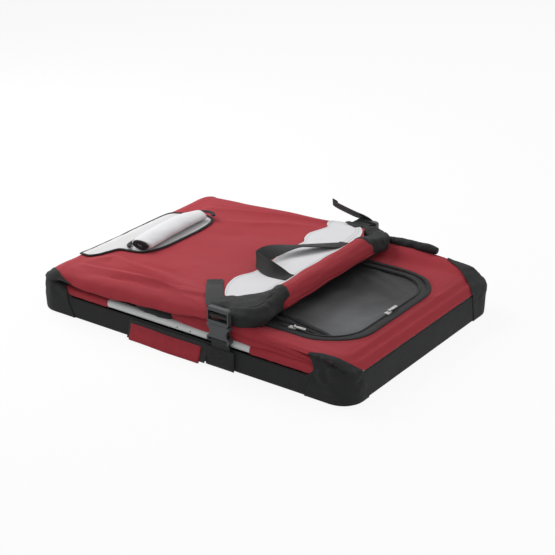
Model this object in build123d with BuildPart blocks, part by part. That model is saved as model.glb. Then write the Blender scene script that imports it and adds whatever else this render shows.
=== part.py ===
from build123d import *
import os
from math import asin, cos, degrees, radians, sin, sqrt

# Soft-sided folding pet crate, folded flat for carrying and storage.
# +X is the door end, -Y the side with the carrying grip, +Z up.
# The origin is under the middle of the floor, on the surface the crate lies on.

os.makedirs("parts", exist_ok=True)

# Overall size
crate_length = 710.0          # over the corner patches, along X
crate_width = 495.0           # over the corner patches, along Y
corner_radius = 41.0          # outside corner of the tray in plan
band_height = 55.0            # black band at the two ends
side_band_height = 41.0       # black band under the bare tube on the long sides
fabric = 1.2                  # one layer of coated nylon with its hem
band_wall = 2.0
floor_thickness = 6.0
soft_gap = 0.3                # room left between soft pieces that pass each other

# Steel frame
tube_diameter = 16.0
tube_wall = 1.2
base_tube_height = 50.0       # centre line of the base loop above the floor
hinge_inset = 51.0            # hinge pins from the ends of the crate
front_hinge_height = 68.0
rear_hinge_height = 77.0
rear_bar_height = 101.0       # centre line of the rear frame's top bar when folded
leg_shortfall = 266.0         # crate's length less a leg's, pin to the top bar's centre line
bar_bend_radius = 45.0        # centre-line bend between a leg and the top bar
tongue_thickness = 4.0
tongue_gap = 0.5
ear_thickness = 3.0
ear_radius = 8.0
pin_radius = 3.0
pin_clearance = 0.05
pin_head_radius = 5.2
pin_head_thickness = 1.6
spigot_length = 60.0
spigot_clearance = 0.05
rivet_radius = 1.6

# Sleeves and walls
sleeve_gap = 0.2
sleeve_wall = 1.5
sleeve_run_rear = 66.8        # red sleeves over the long base tubes, from the corners in
sleeve_run_front = 70.8
sleeve_patch_gap = 14.0
leg_sleeve_setback = 107.0    # leg sleeves start this far ahead of the front frame's bar
wall_thickness = 2.0
skirt_drop = 15.0             # rear wall's side skirts below the leg axis
skirt_inset = 6.5             # skirts inside the crate's sides
patch_long = 93.0             # corner patches along the long sides
patch_short = 58.0            # corner patches along the short sides
rear_patch_side = 52.0        # rear wall's corner patches along the side
rear_patch_end = 10.0
tray_pack_height = 40.0       # folded side walls lying in the tray
tray_pack_end_gap = 12.0
tray_pack_corner = 20.0
tray_pack_width = 96.0
ridge_run = 129.0             # soft ridges over the front legs, back from the hinge
ridge_half_width = 14.0
ridge_near = 22.0             # crests above the leg axis
ridge_far = 27.0
side_roll_radius = 7.0
side_roll_length = 72.0
side_roll_out = 8.0           # the roll's centre line outside the leg's
side_roll_sink = 3.0

# Door in the front wall
door_front_margin = 1.0       # from the hinge line back to the door
door_back_margin = 48.0       # from the door to the front frame's bar
door_near_margin = 34.5       # from the leg's centre line to the door
door_far_margin = 70.5
door_corner = 85.0
binding_width = 9.0
mesh_thickness = 1.0
zip_width = 7.0

# Window in the rear wall
window_start = 24.0           # from the rear hinge line, up the wall
window_height = 92.0
window_near_margin = 82.5     # from the leg's centre line to the window
window_far_margin = 108.5
window_corner = 34.0
flap_end_margin = 13.0
flap_roll_radius = 12.0

# Roof fabric rolled on the rear frame's top bar
roll_radius = 21.0
roll_forward = -6.0
roll_drop = -2.0
roll_end_margin = 90.0        # from the leg's centre line to the roll's end
roll_skew = 1.0               # degrees, the roll is pulled forward on the near side
wall_lap = 30.0               # the wall's run on to the roll starts this far back
trim_wave = 22.0              # how far the trim's lower edge waves
trim_depth = 92.0
piping_radius = 2.2

# Webbing and buckles
strap_width = 40.0
strap_thickness = 1.6
strap_setback = 52.0          # strap's middle back from the rear frame's top bar
strap_far_shift = -20.0       # the far strap hangs this much nearer the rear end
buckle_far_drop = 8.0         # and its buckle this much lower
buckle_width = 50.0
buckle_depth = 12.0
buckle_wall = 2.0
socket_bottom = 54.0
socket_top = 88.0
plug_top = 120.0
prong_bottom = 67.0
prong_spread = 13.0
prong_width = 7.0
waist_radius = 11.5
waist_out = 5.0               # centre of the waist's curve outside the socket
waist_below = 15.0
prong_thickness = 5.0
slot_height = 6.5
bar_radius = 2.4
strap_runs = {"near": (82.0, 78.5), "far": (24.0, 8.0)}   # sewn end back, and in from the leg
doubled_bottom = 8.0          # the lower strap is doubled from here
doubled_gap = 16.0            # to this far below its bar
tail_width = 25.0
tail_ply = 0.9
tail_rise = (-82.0, -9.0, 18.5)   # free end of the far strap, from the plug's top
tail_lean = (0.18, 0.62, 0.76)     # the way its flat side faces

# Carrying grip and top handle
grip_length = 171.0
grip_strap_gap = 20.0         # between the grip and the strap ahead of it
grip_top = 38.0
grip_wrap_height = 30.0
grip_wrap_depth = 7.0
grip_clear = 1.0              # hem of the grip above the ground
handle_width = 27.0
handle_near_margin = 153.5    # from the leg's centre line to the middle of a sewn end
handle_far_margin = 100.5
handle_reach = 112.0          # how far the loop lies back from its sewn ends
handle_bend = 28.0
tab_length = 24.0
handle_stand = 1.5            # tab and stitching under the sewn ends

# Door zip
pull_length = 22.0
pull_width = 6.0
pull_thickness = 0.9
slider_length = 14.0
slider_width = 10.0
slider_height = 2.5
lug_thickness = 1.1           # two lugs on the slider hold the pull's pin
lug_radius = 1.9
lug_gap = 3.6
pull_pin_radius = 0.7
pull_pin_rise = 2.1           # pin's centre above the slider's body
pull_pin_forward = 3.5
barrel_radius = 1.6
slider_near_margin = 32.0     # from the door's corner bend back to the near slider
slider_front_margin = 76.0    # from the door's corner bend along to the front slider

# Places worked out from the sizes above
leg_length = crate_length - leg_shortfall
tube_radius = tube_diameter / 2
half_x = crate_length / 2 - fabric            # outside of the band
half_y = crate_width / 2 - fabric
band_radius = corner_radius - fabric
inner_x = half_x - band_wall
inner_y = half_y - band_wall
base_x = inner_x - soft_gap - tube_radius     # centre line of the base loop
base_y = inner_y - soft_gap - tube_radius
base_bend = band_radius - band_wall - soft_gap - tube_radius
hinge_x = crate_length / 2 - hinge_inset
ear_outer = base_y - tube_radius - 2.0
ear_inner = ear_outer - ear_thickness
leg_y = ear_inner - tongue_gap - tongue_thickness / 2
strap_x = leg_length - hinge_x - strap_setback
grip_front = strap_x - strap_width / 2 - grip_strap_gap
grip_rear = grip_front - grip_length
roll_half_length = leg_y - roll_end_margin
ridge_start = hinge_x - ear_radius - 3 - ridge_run
sleeve_inner = tube_radius + sleeve_gap
sleeve_outer = sleeve_inner + sleeve_wall
sleeve_end_x = half_x - patch_long - sleeve_patch_gap
leg_sleeve_start = hinge_x - leg_length + leg_sleeve_setback
rear_tilt = degrees(asin((rear_bar_height - rear_hinge_height) / leg_length))
wall_under = tube_radius + soft_gap           # rear wall's underside above the leg axis
wall_over = wall_under + wall_thickness
front_wall_top = front_hinge_height + tube_radius
skirt_y = crate_width / 2 - skirt_inset
apron_reach = wall_over + 4.0
apron_half_width = crate_width / 2 - patch_short - 1

# The rear frame lies a little nose up: its own plane runs from the hinge line to
# the top bar. In that plane u runs up the wall, v across, h out of it.
rear_plane = Plane(
    origin=(-hinge_x, 0, rear_hinge_height),
    x_dir=(cos(radians(rear_tilt)), 0, sin(radians(rear_tilt))),
    z_dir=(-sin(radians(rear_tilt)), 0, cos(radians(rear_tilt))),
)
# The front frame's plane runs back from its hinge line, so its v runs towards -Y.
front_plane = Plane(origin=(hinge_x, 0, front_hinge_height), x_dir=(-1, 0, 0), z_dir=(0, 0, 1))


def rear_point(u, v, h):
    """World place of a point given in the rear frame's plane."""
    return rear_plane.from_local_coords(Vector(u, v, h))


def save(part, name):
    """Label a finished piece and write its STEP file."""
    part.label = name
    export_step(part, f"parts/{name}.step")


# ---- Tray: floor, band and corner patches

with BuildPart() as floor_panel:
    with BuildSketch():
        RectangleRounded(2 * inner_x, 2 * inner_y, band_radius - band_wall)
    extrude(amount=floor_thickness)
    fillet(floor_panel.edges().group_by(Axis.Z)[-1], 2.0)
save(floor_panel.part, "floor_panel")

with BuildPart() as side_band:
    with BuildSketch():
        RectangleRounded(2 * half_x, 2 * half_y, band_radius)
        RectangleRounded(2 * inner_x, 2 * inner_y, band_radius - band_wall, mode=Mode.SUBTRACT)
    extrude(amount=band_height)
    # The long sides are lower, so that the base tube shows between its sleeves.
    with BuildSketch(Plane.XZ):
        with Locations((0, (side_band_height + band_height) / 2 + 5)):
            RectangleRounded(2 * (half_x - patch_long + 8), band_height - side_band_height + 10, 4)
    extrude(amount=half_y + 1, both=True, mode=Mode.SUBTRACT)
save(side_band.part, "side_band")

patch_top = base_tube_height + tube_radius + 0.6
for end_name, end in (("front", 1), ("rear", -1)):
    for side_name, side in (("near", -1), ("far", 1)):
        with BuildPart() as corner_patch:
            with BuildSketch():
                RectangleRounded(crate_length, crate_width, corner_radius)
                RectangleRounded(2 * half_x, 2 * half_y, band_radius, mode=Mode.SUBTRACT)
                with Locations((end * crate_length / 2, side * crate_width / 2)):
                    Rectangle(2 * patch_long, 2 * patch_short, mode=Mode.INTERSECT)
            extrude(amount=patch_top)
            # The patch turns in over the top of the base tube at the corner.
            with BuildSketch(Plane.XY.offset(patch_top)):
                RectangleRounded(crate_length, crate_width, corner_radius)
                with Locations((end * crate_length / 2, side * crate_width / 2)):
                    Rectangle(
                        2 * (hinge_inset - ear_radius - 3), 2 * patch_short, mode=Mode.INTERSECT
                    )
            extrude(amount=fabric)
            fillet(corner_patch.edges().filter_by(Axis.Z).group_by(Axis.X)[0 if end > 0 else -1], 0.4)
        save(corner_patch.part, f"base_corner_patch_{end_name}_{side_name}")

# ---- Base loop of bent tube in two halves, joined by spigots on the long sides

for end_name, end in (("front", 1), ("rear", -1)):
    with BuildPart() as half_loop:
        with BuildLine(Plane.XY.offset(base_tube_height)) as loop_line:
            FilletPolyline(
                (0, -base_y), (end * base_x, -base_y), (end * base_x, base_y), (0, base_y),
                radius=base_bend,
            )
        with BuildSketch(Plane(origin=loop_line.line @ 0, z_dir=loop_line.line % 0)):
            Circle(tube_radius)
            Circle(tube_radius - tube_wall, mode=Mode.SUBTRACT)
        sweep()
        # Holes for the rivets that hold the spigots.
        with Locations(Location((end * spigot_length / 4, 0, base_tube_height))):
            Cylinder(rivet_radius, crate_width, rotation=(90, 0, 0), mode=Mode.SUBTRACT)
    save(half_loop.part, f"base_frame_{end_name}")

with BuildPart() as frame_spigots:
    with BuildSketch(Plane.YZ.offset(-spigot_length / 2)):
        with Locations((-base_y, base_tube_height), (base_y, base_tube_height)):
            Circle(tube_radius - tube_wall - spigot_clearance)
            Circle(tube_radius - 2 * tube_wall - spigot_clearance, mode=Mode.SUBTRACT)
    extrude(amount=spigot_length)
    with Locations((-spigot_length / 4, 0, base_tube_height), (spigot_length / 4, 0, base_tube_height)):
        Cylinder(rivet_radius, crate_width, rotation=(90, 0, 0), mode=Mode.SUBTRACT)
save(frame_spigots.part, "frame_spigots")

with BuildPart() as frame_rivets:
    for side in (-1, 1):
        tube_face = Plane.XZ.offset(-side * (base_y - tube_radius))
        with BuildSketch(tube_face):
            with Locations((-spigot_length / 4, base_tube_height), (spigot_length / 4, base_tube_height)):
                Circle(2 * rivet_radius)
        extrude(amount=side * 0.9)
        with BuildSketch(tube_face):
            with Locations((-spigot_length / 4, base_tube_height), (spigot_length / 4, base_tube_height)):
                Circle(rivet_radius)
        extrude(amount=-side * (2 * tube_wall + 0.6))
save(frame_rivets.part, "frame_rivets")

with BuildPart() as tube_sleeves:
    sleeve_runs = (
        (-sleeve_end_x, -sleeve_end_x + sleeve_run_rear),
        (sleeve_end_x - sleeve_run_front, sleeve_end_x),
    )
    for start, stop in sleeve_runs:
        with BuildSketch(Plane.YZ.offset(start)):
            with Locations((-base_y, base_tube_height), (base_y, base_tube_height)):
                Circle(tube_radius + fabric)
                Circle(tube_radius, mode=Mode.SUBTRACT)
        extrude(amount=stop - start)
save(tube_sleeves.part, "tube_sleeves")

# ---- Hinges: an ear welded to the base tube at each leg, and its pin

for end_name, end, pin_height in (
    ("front", 1, front_hinge_height), ("rear", -1, rear_hinge_height),
):
    with BuildPart() as hinge_ears:
        for side in (-1, 1):
            ear_plane = Plane.XZ.offset(-side * ear_inner)
            with BuildSketch(ear_plane):
                with Locations((end * hinge_x, pin_height)):
                    Circle(ear_radius)
                with Locations((end * hinge_x, (pin_height + base_tube_height - 5) / 2)):
                    Rectangle(2 * ear_radius, pin_height - base_tube_height + 5)
            extrude(amount=-side * ear_thickness)
            # The foot is turned out onto the tube.
            with BuildSketch(ear_plane):
                with Locations((end * hinge_x, base_tube_height)):
                    Rectangle(2 * ear_radius, 10)
            extrude(amount=-side * (base_y - ear_inner))
        with Locations((0, -base_y, base_tube_height), (0, base_y, base_tube_height)):
            Cylinder(tube_radius, crate_length, rotation=(0, 90, 0), mode=Mode.SUBTRACT)
        with Locations((end * hinge_x, 0, pin_height)):
            Cylinder(pin_radius, crate_width, rotation=(90, 0, 0), mode=Mode.SUBTRACT)
    save(hinge_ears.part, f"{end_name}_hinge_ears")

    with BuildPart() as hinge_pins:
        for side in (-1, 1):
            inner_head = leg_y - tongue_thickness / 2 - tongue_gap
            for start, length, radius in (
                (inner_head - pin_head_thickness, pin_head_thickness, pin_head_radius),
                (inner_head, ear_outer - inner_head, pin_radius),
                (ear_outer, pin_head_thickness, pin_head_radius),
            ):
                with BuildSketch(Plane.XZ.offset(-side * start)):
                    with Locations((end * hinge_x, pin_height)):
                        Circle(radius)
                extrude(amount=-side * length)
    save(hinge_pins.part, f"{end_name}_hinge_pins")

# ---- The two U frames, each with flattened leg ends on the pins

for frame_name, plane in (("front", front_plane), ("rear", rear_plane)):
    with BuildPart() as u_frame:
        tube_start = ear_radius + 18.0
        with BuildLine(plane) as u_line:
            FilletPolyline(
                (tube_start, -leg_y), (leg_length, -leg_y), (leg_length, leg_y), (tube_start, leg_y),
                radius=bar_bend_radius,
            )
        with BuildSketch(Plane(origin=u_line.line @ 0, z_dir=u_line.line % 0)):
            Circle(tube_radius)
            Circle(tube_radius - tube_wall, mode=Mode.SUBTRACT)
        sweep()
        for side in (-1, 1):
            # The leg end is pressed flat: round tube to a flat tongue.
            flat_end = Plane(
                origin=plane.from_local_coords(Vector(ear_radius + 3, side * leg_y, 0)),
                x_dir=plane.z_dir,
                z_dir=plane.x_dir,
            )
            round_end = Plane(
                origin=plane.from_local_coords(Vector(tube_start, side * leg_y, 0)),
                x_dir=plane.z_dir,
                z_dir=plane.x_dir,
            )
            with BuildSketch(flat_end):
                SlotOverall(2 * tube_radius, tongue_thickness)
            with BuildSketch(round_end):
                Circle(tube_radius)
            loft()
            tongue_plane = Plane(
                origin=plane.from_local_coords(Vector(0, side * leg_y, 0)),
                x_dir=plane.x_dir,
                z_dir=(0, 1, 0),
            )
            with BuildSketch(tongue_plane):
                Circle(tube_radius)
                with Locations(((ear_radius + 3) / 2, 0)):
                    Rectangle(ear_radius + 3, 2 * tube_radius)
            extrude(amount=tongue_thickness / 2, both=True)
            with BuildSketch(tongue_plane):
                Circle(pin_radius + pin_clearance)
            extrude(amount=tongue_thickness, both=True, mode=Mode.SUBTRACT)
    save(u_frame.part, f"{frame_name}_frame_tube")

# ---- Fabric of the tray: aprons at the ends, folded side walls on the floor

for end_name, end, wall_height in (
    ("front", 1, front_wall_top), ("rear", -1, rear_hinge_height + tube_radius),
):
    with BuildPart() as apron:
        with BuildSketch(Plane.XZ.offset(-apron_half_width)):
            near_end = end * (hinge_x + apron_reach)
            with BuildLine():
                Polyline(
                    (end * inner_x, band_height + soft_gap),
                    (end * inner_x, band_height + soft_gap + fabric),
                    (near_end, wall_height - 5),
                    (near_end, wall_height - 5 - fabric),
                    close=True,
                )
            make_face()
        extrude(amount=2 * apron_half_width)
    save(apron.part, f"{end_name}_apron")

for side_name, side in (("near", -1), ("far", 1)):
    with BuildPart() as side_wall:
        outer_y = base_y - tube_radius - 1
        with BuildSketch(Plane.XY.offset(floor_thickness)):
            with Locations((0, side * (outer_y - tray_pack_width / 2))):
                RectangleRounded(2 * (hinge_x - tray_pack_end_gap), tray_pack_width, tray_pack_corner)
        extrude(amount=tray_pack_height - floor_thickness)
        fillet(side_wall.edges().group_by(Axis.Z)[-1], 9)
    save(side_wall.part, f"side_wall_{side_name}")

# ---- Front wall: red nylon with a big rounded door, mesh, binding and zip

front_wall_under = tube_radius - 1.6
door_length = leg_length - door_front_margin - door_back_margin
door_front = hinge_x - door_front_margin
door_near = -(leg_y - door_near_margin)
door_far = leg_y - door_far_margin
door_width = door_far - door_near
door_centre = (door_front_margin + door_length / 2, -(door_near + door_far) / 2)
wall_edge_y = leg_y - sleeve_outer - soft_gap
wall_edge_u = leg_length - sleeve_outer - soft_gap

with BuildPart() as front_wall:
    with BuildSketch(front_plane.offset(front_wall_under)):
        RectangleRounded(2 * wall_edge_u, 2 * wall_edge_y, bar_bend_radius - sleeve_outer - soft_gap)
        with Locations((wall_edge_u / 2, 0)):
            Rectangle(wall_edge_u, 2 * wall_edge_y, mode=Mode.INTERSECT)
        with Locations(door_centre):
            RectangleRounded(door_length, door_width, door_corner, mode=Mode.SUBTRACT)
    extrude(amount=1.6)
save(front_wall.part, "front_wall")

with BuildPart() as door_mesh:
    with BuildSketch(front_plane.offset(front_wall_under)):
        with Locations(door_centre):
            RectangleRounded(door_length, door_width, door_corner)
    extrude(amount=mesh_thickness)
save(door_mesh.part, "door_mesh")

with BuildPart() as door_binding:
    with BuildSketch(front_plane.offset(tube_radius)):
        with Locations(door_centre):
            RectangleRounded(door_length + 4, door_width + 4, door_corner + 2)
            RectangleRounded(
                door_length + 4 - 2 * binding_width,
                door_width + 4 - 2 * binding_width,
                door_corner + 2 - binding_width,
                mode=Mode.SUBTRACT,
            )
    extrude(amount=fabric)
save(door_binding.part, "door_binding")

zip_inset = binding_width + 1
with BuildPart() as zip_tape:
    with BuildSketch(front_plane.offset(front_wall_under + mesh_thickness)):
        with Locations(door_centre):
            RectangleRounded(
                door_length - 2 * zip_inset, door_width - 2 * zip_inset, door_corner - zip_inset
            )
            RectangleRounded(
                door_length - 2 * zip_inset - 2 * zip_width,
                door_width - 2 * zip_inset - 2 * zip_width,
                door_corner - zip_inset - zip_width,
                mode=Mode.SUBTRACT,
            )
    extrude(amount=fabric)
save(zip_tape.part, "zip_tape")

with BuildPart() as front_bar_sleeve:
    with BuildSketch(Plane.XZ.offset(leg_y - bar_bend_radius)):
        with Locations((hinge_x - leg_length, front_hinge_height)):
            Circle(sleeve_outer)
            Circle(sleeve_inner, mode=Mode.SUBTRACT)
    extrude(amount=-2 * (leg_y - bar_bend_radius))
save(front_bar_sleeve.part, "front_bar_sleeve")

for side_name, side in (("near", -1), ("far", 1)):
    with BuildPart() as leg_sleeve:
        with BuildSketch(Plane.YZ.offset(leg_sleeve_start)):
            with Locations((side * leg_y, front_hinge_height)):
                Circle(sleeve_outer)
                Circle(sleeve_inner, mode=Mode.SUBTRACT)
        extrude(amount=hinge_x - ear_radius - 18 - leg_sleeve_start)
    save(leg_sleeve.part, f"front_leg_sleeve_{side_name}")

# The side walls' upper edges are folded over the legs as soft ridges, and the far
# one carries a roll of black side fabric.
for side_name, side in (("near", -1), ("far", 1)):
    crest = front_hinge_height + (ridge_near if side < 0 else ridge_far)
    ridge_base = front_wall_top + soft_gap
    with BuildPart() as ridge:
        with BuildSketch(Plane.YZ.offset(ridge_start)):
            with Locations((side * (leg_y + 2), ridge_base)):
                Ellipse(ridge_half_width, crest - ridge_base)
            with Locations((side * leg_y, ridge_base - 2 * ridge_half_width)):
                Rectangle(4 * ridge_half_width, 4 * ridge_half_width, mode=Mode.SUBTRACT)
            with Locations((side * leg_y, front_hinge_height)):
                Circle(sleeve_outer + soft_gap, mode=Mode.SUBTRACT)
        extrude(amount=ridge_run)
    save(ridge.part, f"side_fold_{side_name}")

with BuildPart() as side_roll:
    with BuildSketch(Plane.YZ.offset(ridge_start)):
        with Locations(
            (leg_y + side_roll_out, front_hinge_height + ridge_far + side_roll_radius - side_roll_sink)
        ):
            Circle(side_roll_radius)
        with Locations((leg_y + 2, front_wall_top + soft_gap)):
            Ellipse(
                ridge_half_width + soft_gap,
                ridge_far - tube_radius,
                mode=Mode.SUBTRACT,
            )
    extrude(amount=side_roll_length)
save(side_roll.part, "side_roll_far")

# ---- Rear wall: red nylon with skirts, window, patches and trim

window_near = -(leg_y - window_near_margin)
window_far = leg_y - window_far_margin
wall_top_u = hinge_x + strap_x + strap_width / 2 + 1
trim_half = leg_y - bar_bend_radius - 14
skew_slope = sin(radians(roll_skew)) / cos(radians(roll_skew))
roll_u = leg_length + roll_forward
wall_end_u = roll_u - sqrt(roll_radius**2 - (wall_under + roll_drop) ** 2) - soft_gap
with BuildPart() as rear_wall:
    with BuildSketch(rear_plane.offset(wall_under)):
        with Locations((wall_top_u / 2, 0)):
            Rectangle(wall_top_u, 2 * skirt_y)
        # Between the roll's black ends the wall runs on to the roll, a little askew.
        with BuildLine():
            Polyline(
                (wall_top_u - wall_lap, -trim_half),
                (wall_end_u + trim_half * skew_slope, -trim_half),
                (wall_end_u - trim_half * skew_slope, trim_half),
                (wall_top_u - wall_lap, trim_half),
                close=True,
            )
        make_face()
        with Locations((window_start + window_height / 2, (window_near + window_far) / 2)):
            RectangleRounded(
                window_height, window_far - window_near, window_corner, mode=Mode.SUBTRACT
            )
    extrude(amount=wall_thickness)
    for side in (-1, 1):
        with BuildSketch(rear_plane.offset(-skirt_drop)):
            with Locations((wall_top_u / 2, side * (skirt_y - wall_thickness / 2))):
                Rectangle(wall_top_u, wall_thickness)
        extrude(amount=skirt_drop + wall_over)
save(rear_wall.part, "rear_wall")

with BuildPart() as window_mesh:
    with BuildSketch(rear_plane.offset(wall_under)):
        with Locations((window_start + window_height / 2, (window_near + window_far) / 2)):
            RectangleRounded(window_height, window_far - window_near, window_corner)
    extrude(amount=mesh_thickness)
save(window_mesh.part, "window_mesh")

with BuildPart() as window_binding:
    with BuildSketch(rear_plane.offset(wall_over)):
        with Locations((window_start + window_height / 2, (window_near + window_far) / 2)):
            RectangleRounded(window_height + 4, window_far - window_near + 4, window_corner + 2)
            RectangleRounded(
                window_height - 8, window_far - window_near - 8, window_corner - 4, mode=Mode.SUBTRACT
            )
    extrude(amount=fabric)
save(window_binding.part, "window_binding")

# The window's flap is rolled up along the upper edge and tied there.
flap_length = window_far - window_near - 2 * flap_end_margin
flap_u = window_start + window_height - flap_roll_radius - 1
flap_plane = Plane(
    origin=rear_point(flap_u, (window_near + window_far) / 2 - flap_length / 2, wall_over + fabric),
    x_dir=rear_plane.x_dir,
    z_dir=(0, 1, 0),
)
with BuildPart() as window_flap:
    with BuildSketch(flap_plane):
        with Locations((0, -flap_roll_radius * 0.72)):
            Ellipse(flap_roll_radius + 8, flap_roll_radius * 0.72)
    extrude(amount=flap_length)
save(window_flap.part, "window_flap")

for side_name, side in (("near", -1), ("far", 1)):
    with BuildPart() as rear_patch:
        with BuildSketch(rear_plane.offset(wall_over)):
            with BuildLine():
                Polyline(
                    (0, side * skirt_y),
                    (0, side * (skirt_y - patch_short)),
                    (rear_patch_end, side * (skirt_y - patch_short)),
                    (rear_patch_side, side * skirt_y),
                    close=True,
                )
            make_face()
        extrude(amount=fabric)
    save(rear_patch.part, f"rear_corner_patch_{side_name}")

# ---- Roof fabric rolled over the top bar, with its end pieces, trim and piping

skew_axis = Vector(-sin(radians(roll_skew)), cos(radians(roll_skew)), 0)
roll_axis = rear_plane.x_dir * skew_axis.X + Vector(0, skew_axis.Y, 0)
roll_origin = rear_point(
    roll_u + roll_half_length * sin(radians(roll_skew)),
    -roll_half_length * cos(radians(roll_skew)),
    -roll_drop,
)
bar_plane = Plane(
    origin=rear_point(leg_length, -crate_width / 2, 0), x_dir=rear_plane.x_dir, z_dir=(0, 1, 0)
)
with BuildPart() as roof_roll:
    with BuildSketch(Plane(origin=roll_origin, x_dir=rear_plane.z_dir, z_dir=roll_axis)):
        Circle(roll_radius)
    extrude(amount=2 * roll_half_length)
    with BuildSketch(bar_plane):
        Circle(tube_radius + soft_gap)
    extrude(amount=crate_width, mode=Mode.SUBTRACT)
save(roof_roll.part, "roof_roll")

end_radius = roll_radius - 3
for side_name, side in (("near", -1), ("far", 1)):
    with BuildPart() as roll_end:
        end_u = roll_u - side * roll_half_length * skew_slope
        with BuildLine(rear_plane) as end_line:
            FilletPolyline(
                (end_u, side * (roll_half_length + 1)),
                (end_u, side * (leg_y + 1)),
                (wall_top_u - wall_lap, side * (leg_y + 1)),
                radius=bar_bend_radius - 4,
            )
        with BuildSketch(Plane(origin=end_line.line @ 0, z_dir=end_line.line % 0)):
            Circle(end_radius)
        sweep()
        with BuildLine(rear_plane) as bore_line:
            FilletPolyline(
                (leg_length, side * (roll_half_length - 20)),
                (leg_length, side * leg_y),
                (wall_top_u - 2 * wall_lap, side * leg_y),
                radius=bar_bend_radius,
            )
        with BuildSketch(Plane(origin=bore_line.line @ 0, z_dir=bore_line.line % 0)):
            Circle(tube_radius + soft_gap)
        sweep(mode=Mode.SUBTRACT)
        # It stops at the strap, where the wall takes over.
        with BuildSketch(rear_plane.offset(-2 * end_radius)):
            with Locations((wall_top_u + 1 - 2 * end_radius, side * leg_y)):
                Rectangle(4 * end_radius, 6 * end_radius)
        extrude(amount=4 * end_radius, mode=Mode.SUBTRACT)
    save(roll_end.part, f"roof_roll_end_{side_name}")

with BuildPart() as top_trim:
    with BuildSketch(rear_plane.offset(wall_over)):
        near_u = wall_end_u + trim_half * skew_slope
        far_u = wall_end_u - trim_half * skew_slope
        with BuildLine():
            Line((near_u, -trim_half), (far_u, trim_half))
            Line((far_u, trim_half), (far_u - trim_depth - 0.64 * trim_wave, trim_half))
            # The lower edge is a soft bracket, deepest at the sides.
            Spline(
                (far_u - trim_depth - 0.64 * trim_wave, trim_half),
                (wall_end_u - trim_depth - 0.64 * trim_wave, trim_half * 0.72),
                (wall_end_u - trim_depth + 0.73 * trim_wave, trim_half * 0.42),
                (wall_end_u - trim_depth + trim_wave, 0),
                (wall_end_u - trim_depth + 0.82 * trim_wave, -trim_half * 0.42),
                (wall_end_u - trim_depth, -trim_half * 0.72),
                (near_u - trim_depth + 0.18 * trim_wave, -trim_half),
            )
            Line((near_u - trim_depth + 0.18 * trim_wave, -trim_half), (near_u, -trim_half))
        make_face()
    extrude(amount=fabric)
save(top_trim.part, "top_trim")

piping_h = wall_over + fabric + piping_radius
piping_reach = roll_radius + piping_radius + 0.2
piping_u = roll_u - sqrt(piping_reach**2 - (piping_h + roll_drop) ** 2)
with BuildPart() as piping:
    piping_start = rear_point(piping_u + trim_half * skew_slope, -trim_half, piping_h)
    with BuildSketch(Plane(origin=piping_start, x_dir=rear_plane.z_dir, z_dir=roll_axis)):
        Circle(piping_radius)
    extrude(amount=2 * trim_half / cos(radians(roll_skew)))
save(piping.part, "piping")

# ---- Side straps: lower webbing on the tray, upper webbing on the rear wall

buckle_y = crate_width / 2 + soft_gap + buckle_depth / 2
web_y = crate_width / 2
bar_y = web_y + strap_thickness + bar_radius + 1.4
bar_z = socket_bottom + bar_radius + 1.6
strap_sides = (
    ("near", -1, strap_x, 0.0),
    ("far", 1, strap_x + strap_far_shift, buckle_far_drop),
)
for side_name, side, web_x, drop in strap_sides:
    with BuildPart() as lower_strap:
        with BuildSketch(Plane.YZ.offset(web_x - strap_width / 2)):
            with Locations((side * (web_y + strap_thickness / 2), (bar_z - drop + 1) / 2)):
                Rectangle(strap_thickness, bar_z - drop - 1)
            doubled_height = bar_z - drop - doubled_gap - doubled_bottom
            with Locations(
                (side * (web_y + 1.5 * strap_thickness), doubled_bottom + doubled_height / 2)
            ):
                Rectangle(strap_thickness, doubled_height)
            with Locations((side * bar_y, bar_z - drop)):
                Circle(bar_radius + 0.2 + strap_thickness)
                Circle(bar_radius + 0.2, mode=Mode.SUBTRACT)
        extrude(amount=strap_width)
    save(lower_strap.part, f"lower_strap_{side_name}")

# ---- Side-release buckles: sockets on the lower straps, plugs above them

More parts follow.
